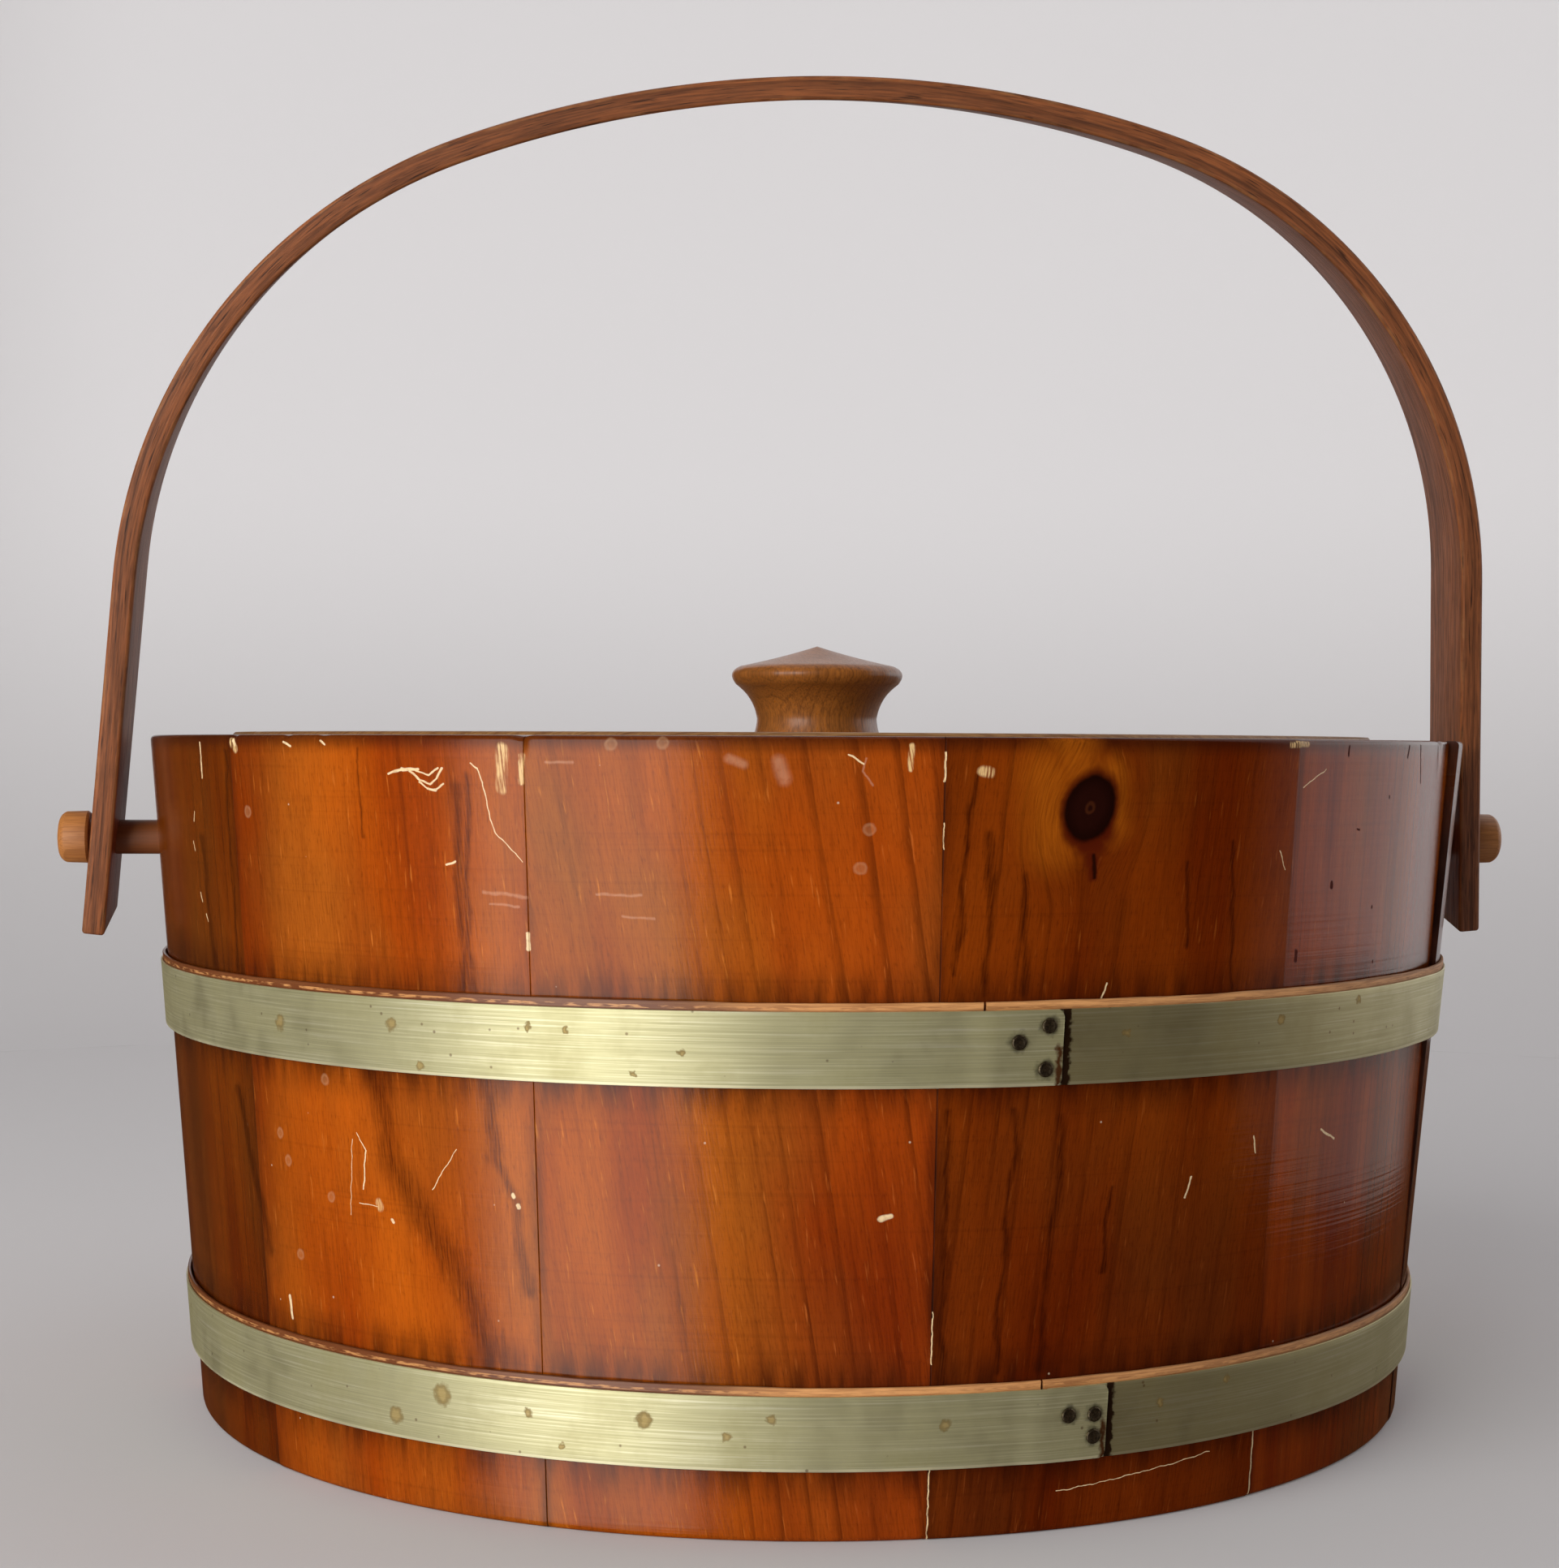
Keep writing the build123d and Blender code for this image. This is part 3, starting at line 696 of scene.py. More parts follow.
def sawn_grain():
    """Group that turns a board's across, depth and along into growth rings and fibres."""
    tree, given = new_tree("sawn_grain", "ShaderNodeTree", {
        "Board": "Vector", "Ring spacing": "Float", "Ring wander": "Float", "Fibre width": "Float"},
        {"Ring": "Float", "Fibre": "Float"})
    drawn_out = []
    for thickness, stretch in ((given["Ring spacing"], 30.0), (given["Fibre width"], 24.0)):
        length = add(tree, "Math", {0: thickness, 1: stretch}, operation="MULTIPLY")
        size = add(tree, "CombineXYZ", {0: thickness, 1: thickness, 2: length})
        drawn_out.append(add(tree, "VectorMath", {0: given["Board"], 1: size}, operation="DIVIDE"))
    in_rings, in_fibres = drawn_out
    wander = add(tree, "TexNoise", {"Vector": in_rings, "Scale": 0.35, "Detail": 2.0, "Roughness": 0.45})
    count = add(tree, "VectorMath", {0: in_rings, 1: (1.0, 0.8, 0.0)}, "Value", operation="DOT_PRODUCT")
    shifted = add(tree, "Math", {0: wander, 1: given["Ring wander"], 2: count}, operation="MULTIPLY_ADD")
    within = add(tree, "Math", {0: shifted}, operation="FRACT")
    late = add(tree, "MapRange", {0: within, 1: 0.70, 2: 0.98}, **SMOOTH)
    edge = add(tree, "MapRange", {0: within, 1: 1.0, 2: 0.97}, **SMOOTH)
    ring = add(tree, "Math", {0: late, 1: edge}, operation="MULTIPLY")
    fibre = add(tree, "TexNoise", {"Vector": in_fibres, "Scale": 1.0, "Detail": 4.0, "Roughness": 0.65})
    add(tree, "NodeGroupOutput", {0: ring, 1: fibre}, None)


def stroke_mark():
    """Group that masks a stroke between two places, or a spot where both are the same."""
    tree, given = new_tree("stroke_mark", "ShaderNodeTree", {
        "Place": "Vector", "From": "Vector", "To": "Vector", "Core": "Float", "Edge": "Float"},
        {"Mask": "Float", "Rim": "Float"})
    offset = add(tree, "VectorMath", {0: given["Place"], 1: given["From"]}, operation="SUBTRACT")
    span = add(tree, "VectorMath", {0: given["To"], 1: given["From"]}, operation="SUBTRACT")
    reach = add(tree, "VectorMath", {0: offset, 1: span}, "Value", operation="DOT_PRODUCT")
    whole = add(tree, "VectorMath", {0: span, 1: span}, "Value", operation="DOT_PRODUCT")
    share = add(tree, "Math", {0: reach, 1: whole}, operation="DIVIDE", use_clamp=True)
    nearest = add(tree, "VectorMath", {0: span, "Scale": share}, operation="SCALE")
    distance = add(tree, "VectorMath", {0: offset, 1: nearest}, "Value", operation="DISTANCE")
    mask = add(tree, "MapRange", {0: distance, 1: given["Edge"], 2: given["Core"]}, **SMOOTH)
    from_core = add(tree, "Math", {0: distance, 1: given["Core"]}, operation="SUBTRACT")
    away = add(tree, "Math", {0: from_core}, operation="ABSOLUTE")
    width = add(tree, "Math", {0: given["Edge"], 1: given["Core"]}, operation="SUBTRACT")
    rim = add(tree, "MapRange", {0: away, 1: width, 2: 0.0})
    add(tree, "NodeGroupOutput", {0: mask, 1: rim}, None)


def marks(tree, place, strokes, softness, output="Mask"):
    """Greatest of the masks of a list of strokes, each two (arc, height) ends and a half width in mm."""
    greatest = None
    for start, end, half_width in strokes:
        mark = add(tree, "Group", {
            "Place": place, "From": (start[0] * MM, 0, start[1] * MM), "To": (end[0] * MM, 0, end[1] * MM),
            "Core": half_width * MM * (1 - softness), "Edge": half_width * MM},
            output, node_tree=bpy.data.node_groups["stroke_mark"])
        if greatest is None:
            greatest = mark
        else:
            greatest = add(tree, "Math", {0: greatest, 1: mark}, operation="MAXIMUM")
    return greatest


def on_board(strokes, first, last):
    """Strokes that touch a stretch of the wall, in mm of arc. The front's marks come once more behind."""
    kept = []
    for start, end, half_width in strokes:
        for shift in (-ROUND / 2, 0, ROUND / 2):
            near, far = sorted((start[0] + shift, end[0] + shift))
            if far + half_width > first and near - half_width < last:
                kept.append(((start[0] + shift, start[1]), (end[0] + shift, end[1]), half_width))
    return kept


def lumps(tree, place, sizes, detail=2.0, output="Fac"):
    """Noise with lumps of about the given sizes in mm."""
    scaled = add(tree, "VectorMath", {0: place, 1: [1 / (size * MM) for size in sizes]}, operation="MULTIPLY")
    return add(tree, "TexNoise", {"Vector": scaled, "Scale": 1.0, "Detail": detail}, output)


def ragged_offset(tree, noise, reach):
    """Noise about zero as a small shift in the plane of a surface."""
    uneven = add(tree, "VectorMath", {0: noise, 1: (0.5, 0.5, 0.5)}, operation="SUBTRACT")
    return add(tree, "VectorMath", {0: uneven, 1: reach}, operation="MULTIPLY")


def scattered(tree, place, scale, outer, inner, share):
    """Mask of tiny round specks, in only some of a scatter of cells."""
    cells = add(tree, "TexVoronoi", {"Vector": place, "Scale": scale}, None)
    tiny = add(tree, "MapRange", {0: cells["Distance"], 1: outer, 2: inner})
    chosen = add(tree, "SeparateXYZ", {0: cells["Color"]})
    few = add(tree, "Math", {0: chosen, 1: share}, operation="GREATER_THAN")
    return add(tree, "Math", {0: tiny, 1: few}, operation="MULTIPLY")


def coats(tree, colour, *layers):
    """Colour under one coat after another, each a paint, its mask and what the mask is multiplied by."""
    for paint, mask, *factors in layers:
        for factor in factors:
            mask = add(tree, "Math", {0: mask, 1: factor}, operation="MULTIPLY")
        colour = add(tree, "Mix", {0: mask, 6: colour, 7: paint}, 2, data_type="RGBA")
    return colour


def new_material(name, **sockets):
    """Material with one principled shader, whose constant inputs are set by name."""
    material = bpy.data.materials.new(name)
    material.use_nodes = True
    shader = material.node_tree.nodes["Principled BSDF"]
    feed(shader, {socket.replace("_", " "): value for socket, value in sockets.items()})
    return material, material.node_tree, shader


def plain_wood(name, pale, dark, ring_spacing, fibre_width, ring_strength, roughness, bump, **sockets):
    """Wood read from a piece's board coordinates: pale early wood, darker rings, fibres and light wear."""
    material, tree, shader = new_material(name, **sockets)
    board = add(tree, "Attribute", out="Vector", attribute_name="board")
    grain = add(tree, "Group", {
        "Board": board, "Ring spacing": ring_spacing, "Ring wander": RING_WANDER, "Fibre width": fibre_width},
        None, node_tree=bpy.data.node_groups["sawn_grain"])
    broad = add(tree, "VectorMath", {0: board, 1: (120, 120, 18)}, operation="MULTIPLY")
    cloud = add(tree, "TexNoise", {"Vector": broad, "Scale": 1.0, "Detail": 3.0})
    fibrous = add(tree, "MapRange", {0: grain["Fibre"], 1: 0.62, 2: 0.38, 4: 0.55})
    clouded = add(tree, "MapRange", {0: cloud, 1: 0.4, 2: 0.75, 4: 0.35})
    colour = coats(tree, pale, (dark, grain["Ring"], ring_strength), (dark, fibrous), (dark, clouded))
    rough = add(tree, "MapRange", {
        0: grain["Fibre"], 1: 0.3, 2: 0.7, 3: roughness + 0.1, 4: roughness - 0.08})
    relief = add(tree, "Bump", {"Height": grain["Fibre"], "Strength": 0.6, "Distance": bump})
    feed(shader, {"Base Color": colour, "Roughness": rough, "Normal": relief})
    return material, tree, shader, colour


# Finishes

def knot_field(tree, flat, ragged):
    """Distance from the knot's middle, 1 at its edge, and how far it pushes the grain aside."""
    from_knot = add(tree, "VectorMath", {0: flat, 1: (KNOT[0] * MM, 0, KNOT[1] * MM)}, operation="SUBTRACT")
    tilted = add(tree, "VectorRotate", {"Vector": from_knot, "Angle": -KNOT_TILT}, rotation_type="Y_AXIS")
    uneven = add(tree, "VectorMath", {0: tilted, 1: ragged}, operation="ADD")
    in_knots = add(tree, "VectorMath", {
        0: uneven, 1: (KNOT_HALF_SIZE[0] * MM, 1, KNOT_HALF_SIZE[1] * MM)}, operation="DIVIDE")
    distance = add(tree, "VectorMath", {0: in_knots}, "Value", operation="LENGTH")
    push = add(tree, "MapRange", {0: distance, 1: 3.2, 2: 0.4, 4: 0.75}, **SMOOTH)
    aside = add(tree, "VectorMath", {0: from_knot, 1: (-1, 0, 0)}, operation="MULTIPLY")
    return distance, add(tree, "VectorMath", {0: aside, "Scale": push}, operation="SCALE")


def knot_colour(tree, colour, distance, place, fibre, outside):
    """Near-black core with a brown eye, a red-brown tail below, and golden wood at its left."""
    arc, up = KNOT
    glow, tail, point = (
        marks(tree, place, [
            ((arc + x0, up + y0), (arc + x1, up + y1), half_width) for x0, y0, x1, y1, half_width in strokes
        ], softness)
        for strokes, softness in ((KNOT_GLOW, 1.0), (KNOT_TAIL, 0.85), (KNOT_POINT, 0.8))
    )
    streaky = add(tree, "MapRange", {0: fibre, 1: 0.35, 2: 0.62, 3: 0.35, 4: 0.75})
    edge = add(tree, "MapRange", {0: distance, 1: 1.24, 2: 0.98, 4: 0.85}, **SMOOTH)
    core = add(tree, "MapRange", {0: distance, 1: 1.04, 2: 0.84}, **SMOOTH)
    within = add(tree, "MapRange", {0: distance, 1: 0.5, 2: 1.0})
    core_colour = coats(tree, srgb("220a06"), (srgb("120402"), within))
    from_eye = add(tree, "Math", {0: distance, 1: 0.14}, operation="SUBTRACT")
    off_eye = add(tree, "Math", {0: from_eye}, operation="ABSOLUTE")
    eye = add(tree, "MapRange", {0: off_eye, 1: 0.09, 2: 0.01, 4: 0.7}, **SMOOTH)
    return coats(
        tree, colour, (srgb("ac5a10"), glow, streaky, outside), (srgb("521806"), tail),
        (srgb("260a03"), point), (srgb("4c1504"), edge), (core_colour, core), (srgb("45200f"), eye))


def pine_figure(tree, wall, board, grain, cloud, ring_strength):
    """Mask of a board's fibres, and its colour: clouds, tinges, rings, fibres, flecks and dark streaks."""
    dark = tuple(wall.dark)
    clouded = add(tree, "MapRange", {0: cloud, 1: 0.36, 2: 0.62})
    tinge = add(tree, "MapRange", {0: lumps(tree, board, (24, 24, 60), 3.0), 1: 0.44, 2: 0.66, 4: 0.42})
    uneven_ring = add(tree, "MapRange", {
        0: lumps(tree, board, (6, 6, 40)), 1: 0.34, 2: 0.62, 3: 0.15, 4: 1.15})
    fibrous = add(tree, "MapRange", {0: grain["Fibre"], 1: 0.55, 2: 0.32, 4: 0.32})
    fleck = add(tree, "MapRange", {0: lumps(tree, board, (0.6, 0.6, 8)), 1: 0.64, 2: 0.74, 4: 0.55})
    streak = add(tree, "MapRange", {0: lumps(tree, board, (1.0, 1.0, 60)), 1: 0.50, 2: 0.70, 4: 0.30})
    bunch = add(tree, "MapRange", {0: cloud, 1: 0.40, 2: 0.66, 3: 0.2})
    return fibrous, coats(
        tree, tuple(wall.pale), (tuple(wall.deep), clouded), (srgb("86501a"), tinge),
        (dark, grain["Ring"], ring_strength, uneven_ring), (dark, fibrous), (srgb("d07428"), fleck),
        (dark, streak, bunch))


def stain_and_hoop_shade(tree, flat, seam, height):
    """Masks of stain beside seams, of stain and painted shade beside hoops, and of the dark joint itself."""
    stain_and_shade = add(tree, "MapRange", {0: seam, 1: 2.8 * MM, 2: 0.0, 4: 0.6}, **SMOOTH)
    # Beside each hoop the darkening is stain and the hoop's painted shade
    for name in HOOPS:
        low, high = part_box(f"{name}_hoop_backing")
        half = (high.z - low.z) / 2
        above = add(tree, "Math", {0: height, 1: (low.z + high.z) / 2}, operation="SUBTRACT")
        away = add(tree, "Math", {0: above}, operation="ABSOLUTE")
        band = add(tree, "MapRange", {0: away, 1: half + HOOP_STAIN_AND_SHADE_REACH, 2: half, 4: 0.7}, **SMOOTH)
        stain_and_shade = add(tree, "Math", {0: stain_and_shade, 1: band}, operation="MAXIMUM")
    patchy = add(tree, "MapRange", {
        0: lumps(tree, flat, (3, 3, 26), 3.0), 1: 0.36, 2: 0.62, 3: 0.3, 4: 1.0})
    joint = add(tree, "MapRange", {0: seam, 1: 0.24 * MM, 2: 0.05 * MM, 4: 0.75})
    return tuple(add(tree, "Math", {0: mask, 1: patchy}, operation="MULTIPLY") for mask in (stain_and_shade, joint))


def old_knocks(tree, colour, flat, place, fibre, outside, first, last):
    """Knocks through the varnish, rubbed smudges, round dents and specks, on the outer face only."""
    broken = add(tree, "MapRange", {0: lumps(tree, flat, (1.2, 1.2, 1.2), 3.0), 1: 0.36, 2: 0.52, 3: 0.75})
    torn = add(tree, "MapRange", {0: fibre, 1: 0.44, 2: 0.56, 3: 0.1})
    dents = [(middle, middle, DENT_RADIUS) for middle in ROUND_DENTS]
    for strokes, softness, output, texture, strength, paint in (
        (RUBBED_SMUDGES, 0.9, "Mask", broken, 0.3, "dba888"),
        (dents, 0.5, "Mask", broken, 0.14, "dba877"),
        # Painted highlight: the pale ring round each dent's rim
        (dents, 0.3, "Rim", broken, 0.14, "e0b488"),
        (WORN_PATCHES, 0.6, "Mask", torn, 0.95, "e3bd83"),
        (PALE_SCRATCHES, 0.5, "Mask", broken, 0.95, "ecd0a2"),
    ):
        mask = marks(tree, place, on_board(strokes, first, last), softness, output)
        if mask:
            colour = coats(tree, colour, (srgb(paint), mask, texture, outside, strength))
    specks = scattered(tree, flat, scale=210.0, outer=0.06, inner=0.03, share=0.84)
    return coats(tree, colour, (srgb("e6cfae"), specks, 0.5))


def varnished_pine(wall, board_name, first, last):
    """Planed pine under amber varnish, one stave: orange with dark streaks, stained seams and old knocks."""
    material, tree, shader = new_material(
        f"planed pine, amber varnish, {board_name}", IOR=1.46,
        Specular_IOR_Level=VARNISH_FILM.get(board_name, 0.34))
    board, around, tone, character = (
        add(tree, "Attribute", out="Vector", attribute_name=name)
        for name in ("board", "around", "tone", "character")
    )
    ring_strength, seam, _ = add(tree, "SeparateXYZ", {0: character}, None)
    _, depth, height = add(tree, "SeparateXYZ", {0: around}, None)
    flat = add(tree, "VectorMath", {0: around, 1: (1, 0, 1)}, operation="MULTIPLY")
    ragged = ragged_offset(tree, lumps(tree, flat, (3, 3, 3), 3.0, "Color"), (1.0 * MM, 0, 1.0 * MM))
    ragged_place = add(tree, "VectorMath", {0: flat, 1: ragged}, operation="ADD")
    knotted = first < KNOT[0] < last
    if knotted:
        knot_distance, aside = knot_field(tree, flat, ragged)
        board = add(tree, "VectorMath", {0: board, 1: aside}, operation="ADD")
    grain = add(tree, "Group", {
        "Board": board, "Ring spacing": STAVE_RING_SPACING, "Ring wander": RING_WANDER,
        "Fibre width": 0.28 * MM}, None, node_tree=bpy.data.node_groups["sawn_grain"])
    fibre = grain["Fibre"]
    cloud = lumps(tree, board, (18, 18, 120))
    fibrous, colour = pine_figure(tree, wall, board, grain, cloud, ring_strength)

    # Dark figure that drifts with the grain, open pores and fine planing ridges, then the stave's tone with
    # its painted shade and highlight tint
    dark = tuple(wall.dark)
    drift = ragged_offset(tree, lumps(tree, flat, (9, 9, 16), 2.0, "Color"), (5 * MM, 0, 0))
    drifted = add(tree, "VectorMath", {0: ragged_place, 1: drift}, operation="ADD")
    figure = marks(tree, drifted, on_board(DARK_FIGURE, first, last), softness=1.0)
    if figure:
        figured = add(tree, "MapRange", {0: fibre, 1: 0.66, 2: 0.36, 3: 0.28, 4: 0.78})
        colour = coats(tree, colour, (dark, figure, figured))
    pore = add(tree, "MapRange", {0: lumps(tree, board, (0.3, 0.3, 1.6)), 1: 0.44, 2: 0.28, 4: 0.28})
    planing = lumps(tree, flat, (70, 1000, 1.0))
    ridges = add(tree, "MapRange", {0: planing, 1: 0.56, 2: 0.70, 4: 0.10})
    colour = coats(tree, colour, (dark, pore), (dark, ridges))
    colour = add(tree, "Mix", {0: 1.0, 6: colour, 7: tone}, 2, data_type="RGBA", blend_type="MULTIPLY")

    # Stain along seams; stain with painted shade beside the hoops, and stain with a painted dark reflection
    # at the rim
    outside = add(tree, "MapRange", {0: depth, 1: OUTER_SKIN, 2: OUTER_SKIN / 2})
    stain_and_shade, joint = stain_and_hoop_shade(tree, flat, seam, height)
    # Darker band under the rim: stain, and a painted dark reflection of the rounded rim
    rim = add(tree, "MapRange", {
        0: height, 1: RIM_HEIGHT - 4.2 * MM, 2: RIM_HEIGHT - 0.3 * MM, 4: 0.75}, **SMOOTH)
    colour = coats(tree, colour, (srgb("2c0d04"), stain_and_shade), (srgb("190702"), joint), (srgb("341206"), rim))
    pits = marks(tree, ragged_place, on_board(DARK_SPECKS, first, last), softness=0.6)
    if pits:
        colour = coats(tree, colour, (srgb("4a1406"), pits))
    if knotted:
        colour = knot_colour(tree, colour, knot_distance, ragged_place, fibre, outside)
    colour = old_knocks(tree, colour, flat, ragged_place, fibre, outside, first, last)

    # Inside the varnish stops and the wood is dry
    inside = add(tree, "MapRange", {0: depth, 1: 14 * MM, 2: 16 * MM})
    dry = coats(tree, srgb("b88650"), (srgb("80512a"), fibrous))
    colour = coats(tree, colour, (dry, inside))

    # Satin gloss, dull in the joints, with relief from fibres and ridges
    smooth, dull = (0.08, 0.13) if board_name in VARNISH_FILM else (0.13, 0.21)
    gloss = add(tree, "MapRange", {0: cloud, 1: 0.3, 2: 0.7, 3: smooth, 4: dull})
    gloss = add(tree, "Math", {0: gloss, 1: joint}, operation="MAXIMUM")
    if pits:
        gloss = add(tree, "Math", {0: gloss, 1: pits}, operation="MAXIMUM")
    rough = add(tree, "Mix", {0: inside, 2: gloss, 3: 0.75}, data_type="FLOAT")
    ridged = add(tree, "Math", {0: fibre, 1: 0.5, 2: planing}, operation="MULTIPLY_ADD")
    relief = add(tree, "Bump", {"Height": ridged, "Strength": 0.6, "Distance": 0.06 * MM})
    feed(shader, {"Base Color": colour, "Roughness": rough, "Normal": relief})
    return material


def lap_stain_and_edge_highlight(tree, colour, name, arc, height, place):
    """Stain beside a hoop's lapped ends, darkest against the edge, round its rivets and in the gap, and a
    painted highlight along its lower edge.
    """
    lap, _, rivets = HOOPS[name]
    low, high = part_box(f"{name}_hoop")
    edge = math.radians(lap + 90) * MEAN_RADIUS
    # Painted highlight: a pale line along the hoop's lower edge
    lower = add(tree, "Math", {0: height, 1: low.z + 0.2 * MM, 2: 0.4 * MM}, operation="COMPARE")
    past = add(tree, "MapRange", {0: arc, 1: edge + 230 * MM, 2: edge + 20 * MM, 4: 0.62}, **SMOOTH)
    after = add(tree, "Math", {0: arc, 1: edge}, operation="GREATER_THAN")
    level = add(tree, "Math", {0: height, 1: (low.z + high.z) / 2, 2: 10 * MM}, operation="COMPARE")
    spots = [(ROUND + edge / MM - back, low.z / MM + up) for back, up in rivets]
    halo = marks(tree, place, [(spot, spot, 2.5) for spot in spots], softness=0.6)
    end = edge / MM + 0.7
    gap = marks(tree, place, [((end, low.z / MM), (end, high.z / MM), 1.3)], softness=0.5)
    last = ROUND + end - 1.4
    rust = marks(tree, place, [((last, low.z / MM), (last, low.z / MM + 7), 1.1)], softness=0.9)
    return coats(
        tree, colour, (srgb("f2ecc4"), lower), (srgb("7d6a40"), past, after, level),
        (srgb("3a3324"), halo, 0.7), (srgb("3a2412"), gap), (srgb("6e4424"), rust))


def brushed_plating(hoops):
    """Thin brass plating brushed along the band: pale greenish gold with streaks, spots and stained ends."""
    material, tree, shader = new_material(
        "steel band, brushed brass plating", Anisotropic=0.3, Anisotropic_Rotation=0.25)
    around = add(tree, "Attribute", out="Vector", attribute_name="around")
    flat = add(tree, "VectorMath", {0: around, 1: (1, 0, 1)}, operation="MULTIPLY")
    arc, _, height = add(tree, "SeparateXYZ", {0: around}, None)
    brushing = add(tree, "VectorMath", {0: flat, 1: (22, 0, 2600)}, operation="MULTIPLY")
    streak = add(tree, "TexNoise", {"Vector": brushing, "Scale": 1.0, "Detail": 4.0, "Roughness": 0.7})
    streaked = add(tree, "MapRange", {0: streak, 1: 0.62, 2: 0.36, 4: 0.38})
    bright = add(tree, "MapRange", {0: streak, 1: 0.54, 2: 0.70, 4: 0.7})
    cloud = add(tree, "TexNoise", {"Vector": flat, "Scale": 60.0, "Detail": 4.0, "Roughness": 0.6})
    dulled = add(tree, "MapRange", {0: cloud, 1: 0.48, 2: 0.72, 4: 0.5})
    colour = coats(
        tree, tuple(hoops.brass), (srgb("8d8757"), streaked), (srgb("f4f1dc"), bright),
        (srgb("a39a62"), dulled))
    wobble = add(tree, "TexNoise", {"Vector": flat, "Scale": 700.0, "Detail": 3.0}, "Color")
    ragged = ragged_offset(tree, wobble, (2.4 * MM, 0, 2.4 * MM))
    place = add(tree, "VectorMath", {0: flat, 1: ragged}, operation="ADD")
    for name in HOOPS:
        colour = lap_stain_and_edge_highlight(tree, colour, name, arc, height, place)

    # Tarnish: round spots with an ochre heart, and a scatter of rust-red specks
    tarnish = []
    for spot_arc, up, size in HOOP_TARNISH:
        spot = (spot_arc + ROUND if spot_arc < 33 else spot_arc, up)
        tarnish.append((spot, spot, size))
    spots = marks(tree, place, tarnish, softness=0.5)
    spots = add(tree, "Math", {0: spots, 1: 0.7}, operation="MULTIPLY")
    rings = marks(tree, place, tarnish, softness=0.35, output="Rim")
    pits = scattered(tree, flat, scale=330.0, outer=0.13, inner=0.07, share=0.72)
    colour = coats(
        tree, colour, (srgb("c2a462"), spots), (srgb("6e5a30"), rings, 0.45), (srgb("6a4426"), pits, 0.6))

    rough = add(tree, "MapRange", {0: streak, 1: 0.3, 2: 0.7, 3: 0.54, 4: 0.44})
    rough = add(tree, "Math", {0: spots, 1: 0.3, 2: rough}, operation="MULTIPLY_ADD")
    film = add(tree, "MapRange", {0: cloud, 1: 0.35, 2: 0.65, 3: 0.82, 4: 0.66})
    tangent = add(tree, "Tangent", direction_type="RADIAL", axis="Z")
    worn = add(tree, "Math", {0: spots, 1: -0.6, 2: streak}, operation="MULTIPLY_ADD")
    relief = add(tree, "Bump", {"Height": worn, "Strength": 0.35, "Distance": 0.03 * MM})
    feed(shader, {
        "Base Color": colour, "Roughness": rough, "Metallic": film, "Tangent": tangent, "Normal": relief})
    return material


def dark_steel(name, colour, worn, roughness):
    """Plain steel gone dull: dark in the hollows, a little brighter where it is rubbed."""
    material, tree, shader = new_material(name, Metallic=1.0)
    place = add(tree, "TexCoord", out="Object")
    mottle = add(tree, "TexNoise", {"Vector": place, "Scale": 1800.0, "Detail": 4.0, "Roughness": 0.7})
    patch = add(tree, "MapRange", {0: mottle, 1: 0.42, 2: 0.66})
    rough = add(tree, "MapRange", {0: mottle, 1: 0.3, 2: 0.7, 3: roughness + 0.15, 4: roughness - 0.1})
    relief = add(tree, "Bump", {"Height": mottle, "Strength": 0.5, "Distance": 0.06 * MM})
    feed(shader, {"Base Color": coats(tree, colour, (worn, patch)), "Roughness": rough, "Normal": relief})
    return material


def split_backing(hoops):
    """Pale wood split into a thin strip and left bare: straight fibres, darker where varnish ran onto it."""
    material, tree, shader, colour = plain_wood(
        "split pine strip, bare", tuple(hoops.backing), srgb("7a431b"), ring_spacing=2.2 * MM,
        fibre_width=0.35 * MM, ring_strength=0.35, roughness=0.6, bump=0.08 * MM)
    around = add(tree, "Attribute", out="Vector", attribute_name="around")
    arc, _, height = add(tree, "SeparateXYZ", {0: around}, None)
    varnish = add(tree, "MapRange", {0: arc, 1: (ROUND - 10) * MM, 2: (ROUND - 45) * MM, 4: 0.88}, **SMOOTH)
    left = add(tree, "MapRange", {0: arc, 1: 0.42 * ROUND * MM, 2: 0.56 * ROUND * MM})
    varnish = add(tree, "Math", {0: varnish, 1: left}, operation="MULTIPLY")
    colour = coats(tree, colour, (srgb("5a2710"), varnish))
    rough = shader.inputs["Roughness"].links[0].from_socket
    glossy = add(tree, "Mix", {0: varnish, 2: rough, 3: 0.25}, data_type="FLOAT")
    beaded = add(tree, "MapRange", {0: lumps(tree, around, (2.5, 2.5, 0.5), 3.0), 1: 0.44, 2: 0.60})
    for name in HOOPS:
        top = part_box(f"{name}_hoop_backing")[1].z
        # Darker along each strip's top edge
        top_edge_dark = add(tree, "MapRange", {0: height, 1: top - 0.5 * MM, 2: top - 0.1 * MM, 4: 0.5})
        below = add(tree, "Math", {0: height, 1: top + MM}, operation="LESS_THAN")
        line = add(tree, "Math", {0: height, 1: top - 1.3 * MM, 2: 0.3 * MM}, operation="COMPARE")
        colour = coats(tree, colour, (srgb("3a1a0a"), top_edge_dark, below), (srgb("d79a5e"), line, beaded, 0.7))
    feed(shader, {"Base Color": colour, "Roughness": glossy})
    return material


